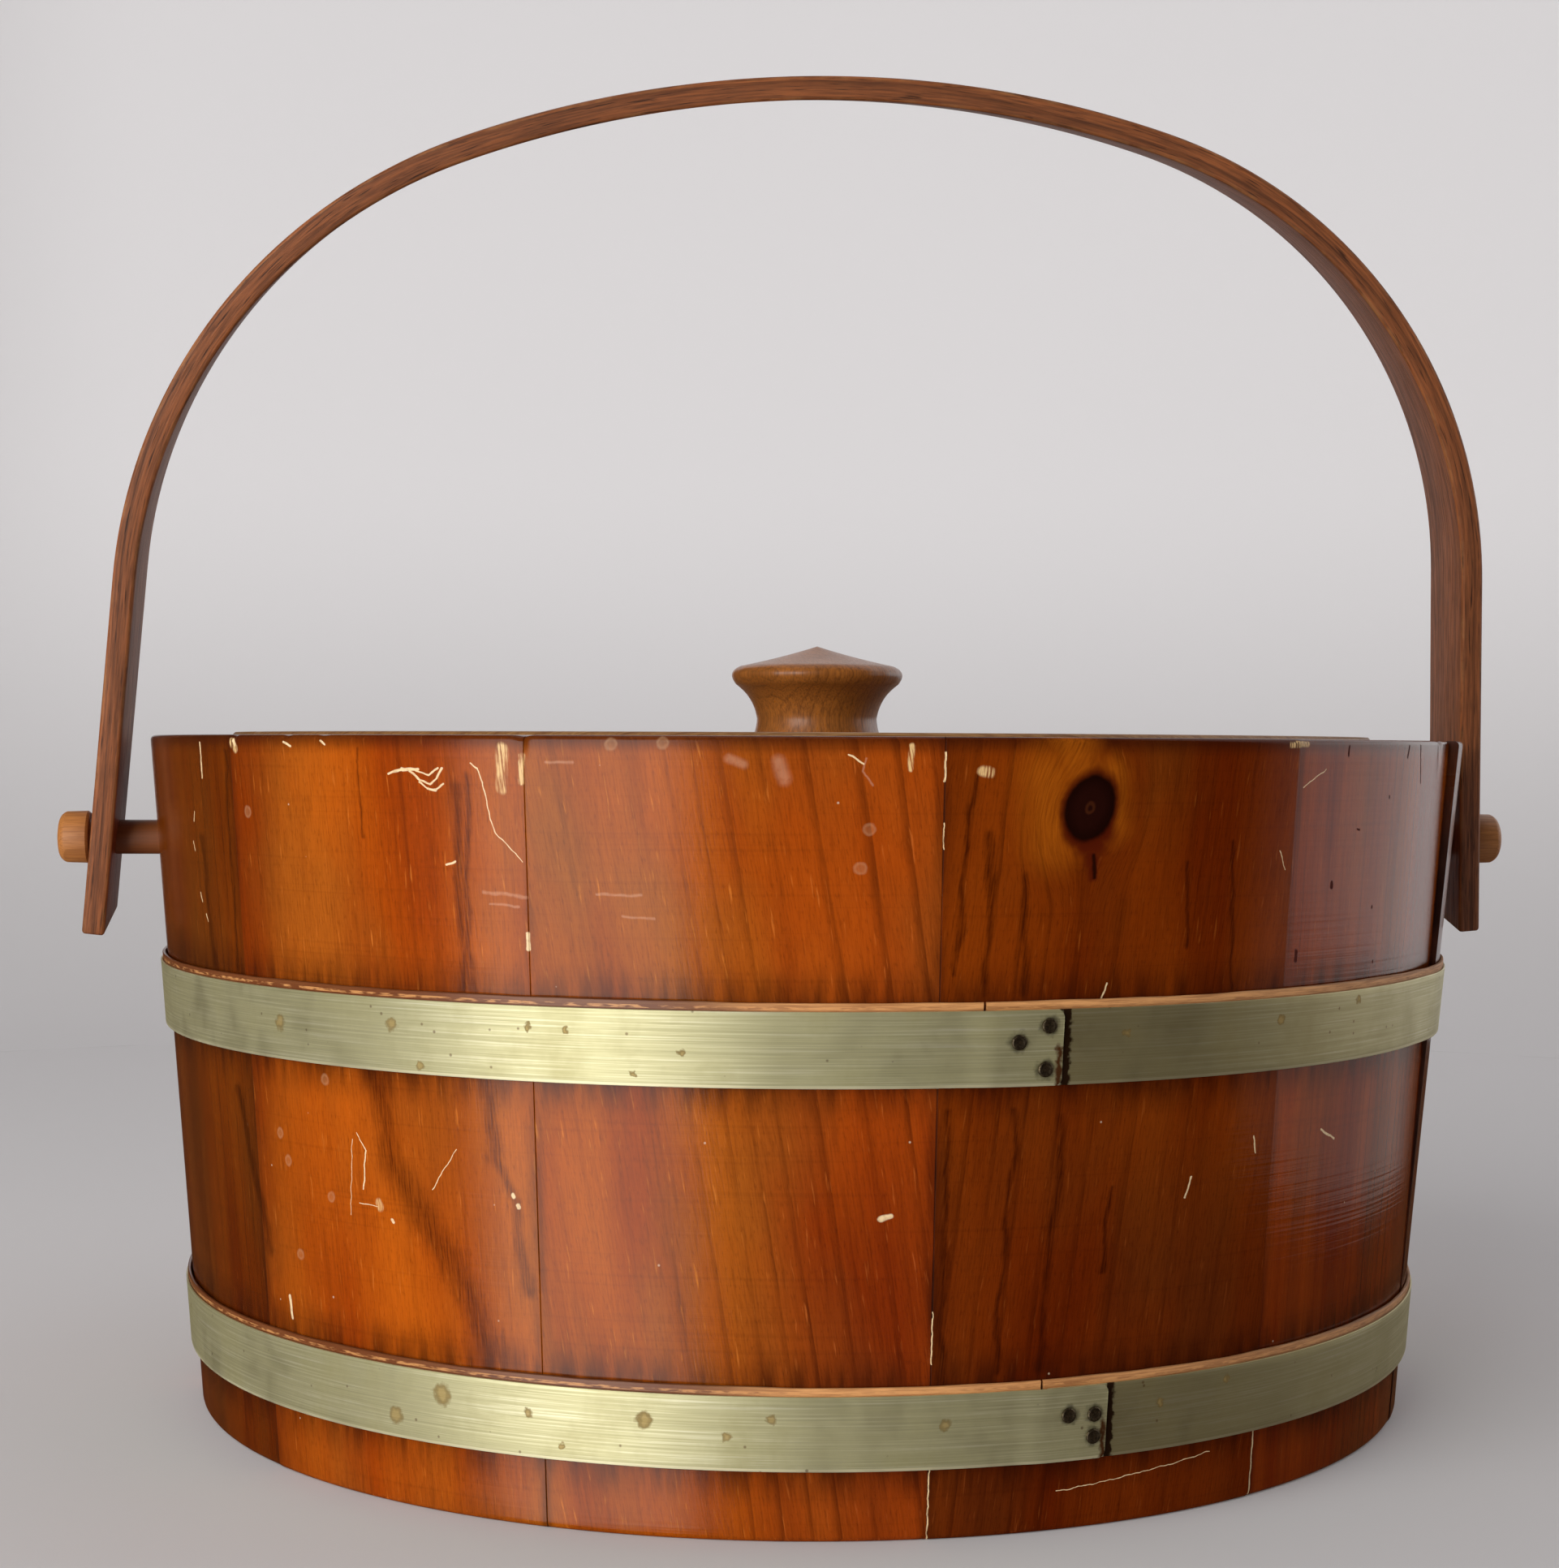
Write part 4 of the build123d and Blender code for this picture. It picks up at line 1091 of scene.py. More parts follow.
def stained_strip(handle):
    """Hardwood strip, steamed, bent and stained dark: open pores along the grain, paler rubbed edges."""
    material, tree, shader, colour = plain_wood(
        "steam-bent hardwood, dark stain", tuple(handle.stain), srgb("2c150a"), ring_spacing=3.5 * MM,
        fibre_width=0.45 * MM, ring_strength=0.45, roughness=0.52, bump=0.16 * MM, IOR=1.45)
    board = add(tree, "Attribute", out="Vector", attribute_name="board")
    long_pores = add(tree, "VectorMath", {0: board, 1: (2300, 2300, 120)}, operation="MULTIPLY")
    pores = add(tree, "TexNoise", {"Vector": long_pores, "Scale": 1.0, "Detail": 2.0})
    pore = add(tree, "MapRange", {0: pores, 1: 0.40, 2: 0.30, 4: 0.8})
    edge = add(tree, "Attribute", out="Fac", attribute_name="edge")
    rub = add(tree, "TexNoise", {"Vector": board, "Scale": 160.0, "Detail": 4.0, "Roughness": 0.65})
    rubbed = add(tree, "MapRange", {0: rub, 1: 0.45, 2: 0.68})
    colour = coats(tree, colour, (srgb("1c0c06"), pore), (srgb("a97a4c"), edge, rubbed))
    feed(shader, {"Base Color": colour})
    return material


# Pieces

def stave_outline(wall):
    """Section of a stave: tapered outside, the lid's ledge at the top and the bottom's groove below."""
    lid_low, lid_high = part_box("lid_board_middle")
    floor_low, floor_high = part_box("bottom_board_middle")
    seat = lid_high.x + wall.lid_play
    ledge = lid_low.z - FIT
    groove = floor_high.y + GROOVE_PLAY
    groove_top = floor_high.z + GROOVE_PLAY
    foot_round, lip_round, ledge_round = 1.2 * MM, 0.6 * MM, 0.4 * MM
    groove_round, chime_round = 0.3 * MM, 0.5 * MM

    def inner(height):
        """Inside of the staves at a height."""
        return seat - wall.ledge_width + WALL_SLOPE * (height - ledge)

    return rounded((
        (outer_radius(0), 0, foot_round),
        (outer_radius(RIM_HEIGHT), RIM_HEIGHT, wall.rim_easing),
        (seat, RIM_HEIGHT, lip_round),
        (seat, ledge, 0),
        (inner(ledge), ledge, ledge_round),
        (inner(groove_top), groove_top, groove_round),
        (groove, groove_top, 0),
        (groove, floor_low.z, 0),
        (inner(floor_low.z), floor_low.z, groove_round),
        (inner(wall.chime_bevel), wall.chime_bevel, chime_round),
        (inner(0) + wall.chime_bevel, 0, chime_round),
    ), pitch=4 * MM)


def section_object(outline):
    """Closed outline as a loop of edges, for a tree to sweep."""
    count = len(outline)
    edges = [(number, (number + 1) % count) for number in range(count)]
    return new_piece("section", [(x, y, 0) for x, y in outline], (), edges)


def proud_lift(wall, height):
    """How far the right-hand stave stands out at a height."""
    share = np.clip((height - PROUD_FROM) / (RIM_HEIGHT - PROUD_FROM), 0, 1)
    return wall.proud_lift * share ** 1.2


def hoop_lift(wall, turn, height):
    """How far a hoop and its backing bend out to pass over the proud stave."""
    first = wall.seam_angle - 2 * math.pi / wall.stave_count
    away = np.abs((turn - first - math.pi / wall.stave_count + math.pi) % (2 * math.pi) - math.pi)
    half = math.pi / wall.stave_count
    return proud_lift(wall, height) * smooth_step(away, half + math.radians(9), half - math.radians(0.5))


def cylinder_along_x(radius, reach):
    """Plain bar along the pegs' axis, to drill with."""
    bar = turned("drill", [(0, -reach), (radius, -reach), (radius, reach), (0, reach)], segments=48)
    bar.data.transform(Matrix.Translation((0, 0, PEG_HEIGHT)) @ Matrix.Rotation(math.pi / 2, 4, "Y"))
    return bar


def build_staves(wall, handle):
    """Twelve staves, each swept from one section, with eased seams and small differences in level."""
    tree = wrapped_section()
    section = section_object(stave_outline(wall))
    arc = 2 * math.pi / wall.stave_count
    for number in range(wall.stave_count):
        node = f"stave_{number + 1:02d}"
        start = wall.seam_angle + number * arc
        first = from_front(start + arc / 2) - arc / 2
        finish = varnished_pine(
            wall, f"stave {number + 1}", first * MEAN_RADIUS / MM, (first + arc) * MEAN_RADIUS / MM)
        piece = grow(
            tree, new_piece(f"pine_{node}"), Section=section, Start=start, Turn=arc, Steps=STAVE_STEPS,
            Finish=finish)
        low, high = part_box(node)
        if low.y < 0 < high.y:
            cut(piece, cylinder_along_x(handle.peg_radius + FIT, reach=0.2))
        shape_stave(piece.data, wall, number, start + arc / 2, arc / 2)
        finish_piece(piece, "bucket", [node], finish)
    bpy.data.objects.remove(section)


def shape_stave(mesh, wall, number, middle, half_arc):
    """Eases a stave's seams, lifts and chips it, and keeps its coordinates for the finish."""
    lift, lightness, ring_strength, slant, spacing = STAVE_CHARACTER[number % len(STAVE_CHARACTER)]
    points = coordinates(mesh)
    radius = np.hypot(points[:, 0], points[:, 1])
    height = points[:, 2]
    turn = np.arctan2(points[:, 1], points[:, 0]) - middle
    turn = (turn + math.pi) % (2 * math.pi) - math.pi
    depth = outer_radius(height) - radius
    seam = (half_arc - np.abs(turn)) * radius
    across = turn * MEAN_RADIUS
    arc = (turn + from_front(middle)) * MEAN_RADIUS

    short = np.clip(wall.seam_easing - seam, 0, wall.seam_easing)
    drop = wall.seam_easing - np.sqrt(wall.seam_easing ** 2 - short ** 2)
    new_radius = radius - drop * (depth < OUTER_SKIN)
    new_height = height - drop * (height > RIM_HEIGHT - OUTER_SKIN)
    for place, size in RIM_CHIPS:
        off = (arc - place * MM + math.pi * MEAN_RADIUS) % (2 * math.pi * MEAN_RADIUS) - math.pi * MEAN_RADIUS
        near = np.exp(-(off / (size * MM)) ** 2)
        corner = np.hypot(depth, RIM_HEIGHT - height)
        bite = 0.5 * size * MM * near * smooth_step(corner, 3.0 * MM, 0.5 * MM)
        new_radius -= bite * 0.7
        new_height -= bite * 0.5
    new_radius += lift * MM
    if number == len(STAVE_CHARACTER) - 1:
        new_radius += proud_lift(wall, height)
    turn_now = turn * (1 - SEAM_PLAY / (half_arc * MEAN_RADIUS)) + middle
    place_points(mesh, np.stack(
        (new_radius * np.cos(turn_now), new_radius * np.sin(turn_now), new_height), axis=1))

    # Each stave is cut from its own part of the grain
    stretch = STAVE_RING_SPACING / (spacing * MM)
    slanted = (across + slant * (height - RIM_HEIGHT / 2)) * stretch + number * 0.37
    clear = 0.3 + 0.7 * smooth_step(turn / half_arc * np.sign(slant), -0.6, 0.5)
    store(mesh, "board", slanted, depth, height + number * 0.53)
    store(mesh, "around", arc, depth, height)
    # The tone carries painted shade and a painted highlight tint
    store(mesh, "tone", *stave_tone_and_shade(lightness, arc, height))
    store(mesh, "character", ring_strength * clear, seam_distance(seam, arc, height), np.zeros_like(arc))


def stave_tone_and_shade(lightness, arc, height):
    """Red, green and blue of the wall's tone: painted shade at the left, a painted highlight tint beside,
    ruddy past the middle.
    """
    # Painted shade: darker towards the far left, where the light falls off
    shade = lightness * (
        1 - 0.35 * smooth_step(-arc, 112 * MM, 150 * MM) * smooth_step(-arc, 250 * MM, 170 * MM))
    ruddy = smooth_step(arc, -45 * MM, 5 * MM) * smooth_step(arc, 170 * MM, 120 * MM)
    # Painted shade: darker low down past the middle
    low = ruddy * smooth_step(height, 85 * MM, 40 * MM)
    # Painted warm highlight: yellower left of the middle, where the key light's reflection falls
    highlight_tint = smooth_step(arc, -85 * MM, -65 * MM) * smooth_step(arc, -15 * MM, -40 * MM)
    return (
        shade * (1 - 0.16 * ruddy - 0.20 * low),
        shade * (1 - 0.30 * ruddy - 0.20 * low + 0.15 * highlight_tint),
        shade * (1 - 0.25 * ruddy),
    )


def seam_distance(seam, arc, height):
    """Distance from a stave's seams, with the faint ones put further away than they are."""
    for place, lowest, distance in FAINT_SEAMS:
        beside = np.abs(arc - place * MM) < 16 * MM
        seam = seam + distance * MM * beside * smooth_step(height, (lowest - 8) * MM, lowest * MM)
    return seam


def build_bottom():
    """Three sawn boards that fill the groove."""
    finish = plain_wood(
        "sawn pine, dry", srgb("b58450"), srgb("6d4523"), ring_spacing=4.2 * MM, fibre_width=0.5 * MM,
        ring_strength=0.55, roughness=0.75, bump=0.2 * MM, IOR=1.45)[0]
    for number, side in enumerate(("left", "middle", "right")):
        node = f"bottom_board_{side}"
        piece = eased_copy(node, f"sawn_{node}", 0.4 * MM)
        points = coordinates(piece.data)
        store(piece.data, "board", points[:, 0] + number * 0.4, points[:, 2], points[:, 1] + number * 0.7)
        finish_piece(piece, "bucket", [node], finish)


def band_outline(lower, upper, inset, thickness):
    """Section of a strip that lies on the staves' taper."""
    edge = thickness * 0.3
    return rounded((
        (outer_radius(lower) + inset, lower, edge),
        (outer_radius(lower) + inset + thickness, lower, edge),
        (outer_radius(upper) + inset + thickness, upper, edge),
        (outer_radius(upper) + inset, upper, edge),
    ), pitch=1.6 * MM, arc_steps=3)


def sweep_band(tree, name, outline, start, turn, finish):
    """Strip swept round the bucket, with its points as radius, angle and height."""
    section = section_object(outline)
    piece = grow(
        tree, new_piece(name), Section=section, Start=start, Turn=turn, Steps=BAND_STEPS, Finish=finish)
    bpy.data.objects.remove(section)
    mesh = piece.data
    points = coordinates(mesh)
    angle = np.empty(len(points), np.float32)
    mesh.attributes["turn"].data.foreach_get("value", angle)
    return piece, np.hypot(points[:, 0], points[:, 1]), angle.astype(float), points[:, 2].copy()


def keep_band(mesh, radius, angle, height):
    """Puts a strip's points in place and keeps its coordinates for the finish."""
    place_points(mesh, np.stack((radius * np.cos(angle), radius * np.sin(angle), height), axis=1))
    arc = (angle + math.pi / 2) * MEAN_RADIUS
    depth = outer_radius(height) - radius
    store(mesh, "around", arc, depth, height)
    store(mesh, "board", height, depth, angle * MEAN_RADIUS)


def lap_angles(hoops, name):
    """Angle at which a hoop's covered end starts, its lap's end, and the turn of a unit length."""
    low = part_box(f"{name}_hoop")[0]
    lap_inset = hoops.backing_play + hoops.backing_thickness + 2 * hoops.band_play + hoops.band_thickness
    unit = 1 / (outer_radius(low.z) + lap_inset)
    end = math.radians(HOOPS[name][0])
    return end - hoops.lap_length * unit, end, unit


def build_hoops(hoops, wall):
    """Two metal bands with lapped ends, each over a thin wooden strip with a butt joint."""
    tree = wrapped_section()
    plating = brushed_plating(hoops)
    bare = split_backing(hoops)
    inset = hoops.backing_play + hoops.backing_thickness + hoops.band_play
    for name, (_, butt, _) in HOOPS.items():
        low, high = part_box(f"{name}_hoop")
        lap_start, lap_end, unit = lap_angles(hoops, name)
        gap = hoops.end_gap * unit
        start = lap_start + gap
        turn = 2 * math.pi - gap + lap_end - lap_start
        outline = band_outline(low.z, high.z, inset, hoops.band_thickness)
        piece, radius, angle, height = sweep_band(tree, f"plated_{name}_hoop", outline, start, turn, plating)
        covered = lap_start + 2 * math.pi
        climb = smooth_step(angle, covered - hoops.joggle * unit, covered + 0.2 * hoops.joggle * unit)
        radius += climb * (hoops.band_thickness + hoops.band_play)
        radius += hoop_lift(wall, angle, height)
        left = np.minimum(angle - start, start + turn - angle) / unit
        short = np.clip(HOOP_CORNER - left, 0, HOOP_CORNER)
        middle = (low.z + high.z) / 2
        pull = (HOOP_CORNER - np.sqrt(HOOP_CORNER ** 2 - short ** 2)) / (high.z - middle)
        height -= (height - middle) * pull
        keep_band(piece.data, radius, angle, height)
        finish_piece(piece, "bucket", [f"{name}_hoop"], plating)

        low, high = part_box(f"{name}_hoop_backing")
        outline = band_outline(low.z, high.z, hoops.backing_play, hoops.backing_thickness)
        piece, radius, angle, height = sweep_band(
            tree, f"split_{name}_backing", outline, math.radians(butt), 2 * math.pi - gap, bare)
        top = smooth_step(height, high.z - RAGGED_HEIGHT, high.z)
        height -= top * RAGGED_DEPTH * ripple(angle, 1.7 + low.z)
        radius += hoop_lift(wall, angle, height)
        keep_band(piece.data, radius, angle, height)
        finish_piece(piece, "bucket", [f"{name}_hoop_backing"], bare)


def fasteners(name, places, directions, model, finish):
    """One mesh of like fasteners, set at places and facing their directions."""
    piece = new_piece(name, places)
    store(piece.data, "facing", *np.array(directions).T)
    grow(set_heads(), piece, Fastener=model, Finish=finish)
    bpy.data.objects.remove(model)
    return piece


def build_rivets(hoops):
    """Three peened rivets through each lap, their heads dished inside a raised edge."""
    finish = dark_steel("steel rivet, peened and dark", srgb("544a3c"), srgb("8d8068"), roughness=0.5)
    head = hoops.head_radius
    grip = 2 * hoops.band_thickness + 2 * hoops.band_play + hoops.backing_thickness
    profile = [
        (0, -grip), (0.45 * head, -grip), (0.47 * head, -0.02 * MM), (0.97 * head, 0.0), (head, 0.12 * MM),
        (0.97 * head, 0.34 * MM), (0.86 * head, 0.5 * MM), (0.74 * head, 0.52 * MM), (0.62 * head, 0.42 * MM),
        (0.4 * head, 0.38 * MM), (0, 0.40 * MM),
    ]
    for name, (_, _, rivets) in HOOPS.items():
        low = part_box(f"{name}_hoop")[0]
        _, lap_end, unit = lap_angles(hoops, name)
        seat = hoops.backing_play + hoops.backing_thickness + 2 * hoops.band_play + 2 * hoops.band_thickness
        places = []
        directions = []
        for back, up in rivets:
            turn = lap_end - back * MM * unit
            height = low.z + up * MM
            reach = outer_radius(height) + seat
            places.append((reach * math.cos(turn), reach * math.sin(turn), height))
            directions.append(Vector((math.cos(turn), math.sin(turn), -WALL_SLOPE)).normalized())
        piece = fasteners(
            f"peened_{name}_rivets", places, directions, turned("rivet", profile, segments=28), finish)
        finish_piece(piece, "bucket", [f"{name}_hoop_rivets"], finish, crease=50)


def build_pegs(handle):
    """Two turned pegs: a shank through the stave and a rounded head outside the handle."""
    finish, tree, shader, colour = plain_wood(
        "turned hardwood peg, oiled", tuple(handle.honey), srgb("7e4a20"), ring_spacing=1.6 * MM,
        fibre_width=0.3 * MM, ring_strength=0.4, roughness=0.42, bump=0.05 * MM, IOR=1.48)
    # Darker shank between stave and handle: stain and painted shade
    shank_stain_and_shade = add(tree, "Attribute", out="Fac", attribute_name="shank_stain_and_shade")
    feed(shader, {"Base Color": coats(tree, colour, (srgb("6a3415"), shank_stain_and_shade))})
    chamfer = 0.6 * MM
    for side, name in ((-1, "left"), (1, "right")):
        low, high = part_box(f"peg_{name}")
        inner, outer = sorted((abs(low.x), abs(high.x)))
        head = (high.z - low.z) / 2
        head_start = outer - handle.peg_head_length
        shank = handle.peg_radius
        profile = [(0, inner), (shank - chamfer, inner), (shank, inner + chamfer)]
        profile += [(shank, height) for height in np.linspace(inner + 2 * MM, head_start - 0.3 * MM, 8)]
        profile += [
            (shank + 0.1 * MM, head_start), (head - 0.5 * MM, head_start), (head, head_start + chamfer)]
        crown_start = (head, outer - 2.6 * MM)
        crown_end = (head - 2.8 * MM, outer - 0.25 * MM)
        profile += [tuple(point) for point in bowed(crown_end, crown_start, 0.72 * MM, 8)][::-1]
        profile += [(0.4 * head, outer - 0.05 * MM), (0, outer)]
        piece = turned(f"turned_peg_{name}", profile, segments=64)
        turn = Matrix.Rotation(side * math.pi / 2, 4, "Y")
        piece.data.transform(Matrix.Translation((0, 0, PEG_HEIGHT)) @ turn)
        points = coordinates(piece.data)
        store(piece.data, "board", points[:, 1] + side * 0.3, points[:, 2], points[:, 0])
        # Stain and painted shade on the shank, fading out towards the head
        store(piece.data, "shank_stain_and_shade", 0.8 * smooth_step(np.abs(points[:, 0]), head_start + MM, head_start))
        finish_piece(piece, "bucket", [f"peg_{name}"], finish)


def handle_route(handle):
    """Centre line of the handle in its own plane, from foot to foot: legs, shoulder bends and crown."""
    crown_centre = Vector((handle.crown_shift, handle.reach - handle.crown_radius))
    sides = []
    for side, gap, splay, bend in (
        (-1, handle.left_gap, handle.left_splay, handle.left_bend),
        (1, handle.right_gap, handle.right_splay, handle.right_bend),
    ):
        along = Vector((-side * math.sin(splay), math.cos(splay)))
        inward = Vector((-side * math.cos(splay), -math.sin(splay)))
        pivot = Vector((side * (outer_radius(PEG_HEIGHT) + gap + handle.thickness / 2), 0))
        start = pivot + inward * bend - crown_centre
        reach = handle.crown_radius - bend
        rise = math.sqrt(start.dot(along) ** 2 - start.dot(start) + reach ** 2) - start.dot(along)
        touch = pivot + along * rise
        shoulder = crown_centre + (start + along * rise).normalized() * handle.crown_radius
        shares = np.linspace(0, 1, 24)
        leg = [pivot + along * (share * (rise + handle.tail) - handle.tail) for share in shares]
        sides.append((leg[:-1] + arc_points(touch + inward * bend, touch, shoulder, 40), shoulder))
    (left, left_shoulder), (right, right_shoulder) = sides
    crown = arc_points(crown_centre, left_shoulder, right_shoulder, 60)
    return left + crown[1:-1] + right[::-1]


def build_handle(handle):
    """One bent strip with a hole near each end."""
    finish = stained_strip(handle)
    route = handle_route(handle)
    edges = [(number, number + 1) for number in range(len(route) - 1)]
    path = new_piece("path", [(x, 0, up) for x, up in route], (), edges)
    piece = grow(
        bent_strip(), new_piece("bent_handle"), Path=path, Width=handle.width, Thickness=handle.thickness,
        Easing=handle.easing, Lean=(handle.lean, 0, 0), Pivot=(0, 0, PEG_HEIGHT), Finish=finish)
    bpy.data.objects.remove(path)
    ease_ends(piece.data, handle)
    cut(piece, cylinder_along_x(handle.hole_radius, reach=0.25))

    mesh = piece.data
    points = coordinates(mesh) - (0, 0, PEG_HEIGHT)
    lean_cos, lean_sin = math.cos(handle.lean), math.sin(handle.lean)
    across = points[:, 1] * lean_cos + points[:, 2] * lean_sin
    plane = np.stack((points[:, 0], points[:, 2] * lean_cos - points[:, 1] * lean_sin), axis=1)
    depth, along = route_coordinates(plane, np.array(route))
    store(mesh, "board", across, depth, along)
    from_side = handle.width / 2 - np.abs(across)
    from_face = handle.thickness / 2 - np.minimum(np.abs(depth), handle.thickness / 2)
    store(mesh, "edge", 0.5 * smooth_step(from_side + from_face, 1.0 * MM, 0.3 * MM))
    finish_piece(piece, "handle", ["handle"], finish)


def route_coordinates(plane, line):
    """Depth from a line and length along it, for points in the line's own plane."""
    spans = np.diff(line, axis=0)
    lengths = np.linalg.norm(spans, axis=1)
    offsets = plane[:, None, :] - line[None, :-1, :]
    shares = np.clip((offsets * spans).sum(axis=2) / lengths ** 2, 0, 1)
    distances = np.linalg.norm(offsets - shares[..., None] * spans, axis=2)
    nearest = distances.argmin(axis=1)
    rows = np.arange(len(plane))
    near_span, near_offset = spans[nearest], offsets[rows, nearest]
    side = np.sign(near_span[:, 0] * near_offset[:, 1] - near_span[:, 1] * near_offset[:, 0])
    gone = np.concatenate(([0], np.cumsum(lengths)))[nearest]
    return distances[rows, nearest] * side, gone + shares[rows, nearest] * lengths[nearest]


def ease_ends(mesh, handle):
    """Rounds the edges round the handle's two sawn ends."""
    shape = bmesh.new()
    shape.from_mesh(mesh)
    caps = [face for face in shape.faces if len(face.verts) > 4]
    rims = [edge for face in caps for edge in face.edges]
    bmesh.ops.bevel(shape, geom=rims, offset=handle.easing * 0.8, segments=3, profile=0.5, affect="EDGES")
    shape.to_mesh(mesh)
    shape.free()


def build_lid(lid):
    """Three boards cut to a disc, held together by two battens below."""
    for number, (side, tone) in enumerate((("front", 1.0), ("middle", 0.84), ("back", 1.08))):
        finish = plain_wood(
            f"planed pine, satin varnish and dust, {side} board",
            tuple(tone * part for part in lid.wood[:3]) + (1,), srgb("5a2c10"), ring_spacing=5.0 * MM,
            fibre_width=0.5 * MM, ring_strength=0.5, roughness=0.42, bump=0.06 * MM, IOR=1.48)[0]
        node = f"lid_board_{side}"
        piece = eased_copy(node, f"planed_{node}", lid.easing)
        points = coordinates(piece.data)
        store(
            piece.data, "board", points[:, 1] * 1.1 + number * 0.3, points[:, 2],
            points[:, 0] + number * 0.6)
        finish_piece(piece, "lid", [node], finish)
    # The battens are of the back board's wood
    for number, side in enumerate(("left", "right")):
        node = f"lid_batten_{side}"
        piece = eased_copy(node, f"planed_{node}", lid.easing)
        points = coordinates(piece.data)
        store(piece.data, "board", points[:, 0] + number * 0.3, points[:, 2], points[:, 1] + number * 0.6)
        finish_piece(piece, "lid", [node], finish)


def build_knob(lid):
    """Turned knob: a shallow cone over a rounded rim, a cove and a slightly flared foot."""
    finish = plain_wood(
        "turned hardwood, golden varnish", tuple(lid.knob), srgb("4d2a10"), ring_spacing=2.6 * MM,
        fibre_width=0.4 * MM, ring_strength=0.35, roughness=0.33, bump=0.04 * MM, IOR=1.5, Coat_Weight=0.2,
        Coat_Roughness=0.15)[0]
    low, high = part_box("knob")
    middle = (low.x + high.x) / 2
    tall = high.z - low.z
    rim, neck = lid.rim_radius, lid.neck_radius
    shoulder, brim = (rim - 2.2 * MM, 16.6 * MM), (rim - 1.1 * MM, 12.2 * MM)
    waist, foot = (neck, 4 * MM), (neck + 0.8 * MM, 0)
    profile = []
    for start, end, bulge, steps in (
        ((0, tall), shoulder, -0.25 * MM, 14), (shoulder, brim, 1.6 * MM, 12), (brim, waist, -1.05 * MM, 14),
        (waist, foot, -0.15 * MM, 5),
    ):
        profile += bowed(start, end, bulge, steps)
    profile += [Vector(foot), Vector((neck - 4 * MM, 0)), Vector((0, 0))]
    piece = turned("turned_knob", [tuple(point) for point in profile], segments=112)
    piece.data.transform(Matrix.Translation((middle, 0, low.z)))
    mesh = piece.data
    points = coordinates(mesh)
    turn = np.arctan2(points[:, 1], points[:, 0] - middle)
    from_axis = np.hypot(points[:, 0] - middle, points[:, 1])
    knocked = smooth_step(from_axis, rim - 2.0 * MM, rim - 0.4 * MM) * ripple(turn * 2, 0.8) ** 3 * 0.35 * MM
    shrink = 1 - knocked / np.maximum(from_axis, MM)
    points[:, 0] = middle + (points[:, 0] - middle) * shrink
    points[:, 1] *= shrink
    place_points(mesh, points)
    store(mesh, "board", points[:, 0], points[:, 1], points[:, 2])
    finish_piece(piece, "lid", ["knob"], finish, crease=50)


def build_screws(lid):
    """Slotted flat-head screws, seen from below the lid: six in the battens and one in the knob."""
    finish = dark_steel("steel wood screw, plain", srgb("6b6962"), srgb("a09e96"), roughness=0.38)
    head = lid.screw_head_radius
    slot_width, slot_depth = 0.9 * MM, 0.8 * MM
    low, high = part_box("lid_batten_screws")
    places = [
        (side * (high.x - head), row * (high.y - head), low.z) for side in (-1, 1) for row in (-1, 0, 1)
    ]
    knob_low, knob_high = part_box("knob_screw")
    knob_place = [((knob_low.x + knob_high.x) / 2, 0, knob_low.z)]
    for node, spots, length in (
        ("lid_batten_screws", places, high.z - low.z),
        ("knob_screw", knob_place, knob_high.z - knob_low.z),
    ):
        shank = head / 2
        profile = [
            (0, -length), (shank * 0.4, -length + 2 * MM), (shank, -length + 4 * MM), (shank, -head + shank),
            (head - 0.15 * MM, -0.15 * MM), (head - 0.2 * MM, -0.05 * MM), (head * 0.6, 0), (0, 0),
        ]
        model = turned("screw", profile, segments=40)
        slot = new_piece("slot")
        shape = bmesh.new()
        sides = Matrix.Diagonal((4 * head, slot_width, 2 * slot_depth, 1))
        bmesh.ops.create_cube(shape, size=1, matrix=sides)
        shape.to_mesh(slot.data)
        shape.free()
        cut(model, slot)
        piece = fasteners(f"slotted_{node}", spots, [(0, 0, -1)] * len(spots), model, finish)
        finish_piece(piece, "lid", [node], finish, crease=40)


# Stage

def sheet(name, material, profile, start, turn, steps):
    """Open sheet swept round the axis from (radius, height) points, as part of the stage."""
    angles = start + turn * np.linspace(0, 1, steps + 1)
    vertices = [(r * math.cos(a), r * math.sin(a), z) for r, z in profile for a in angles]
    row = steps + 1
    faces = [
        (ring * row + step, ring * row + step + 1, (ring + 1) * row + step + 1, (ring + 1) * row + step)
        for ring in range(len(profile) - 1) for step in range(steps)
    ]
    piece = new_piece(name, vertices, faces)
    piece.data.materials.append(material)
    piece.data.shade_smooth()
    return piece


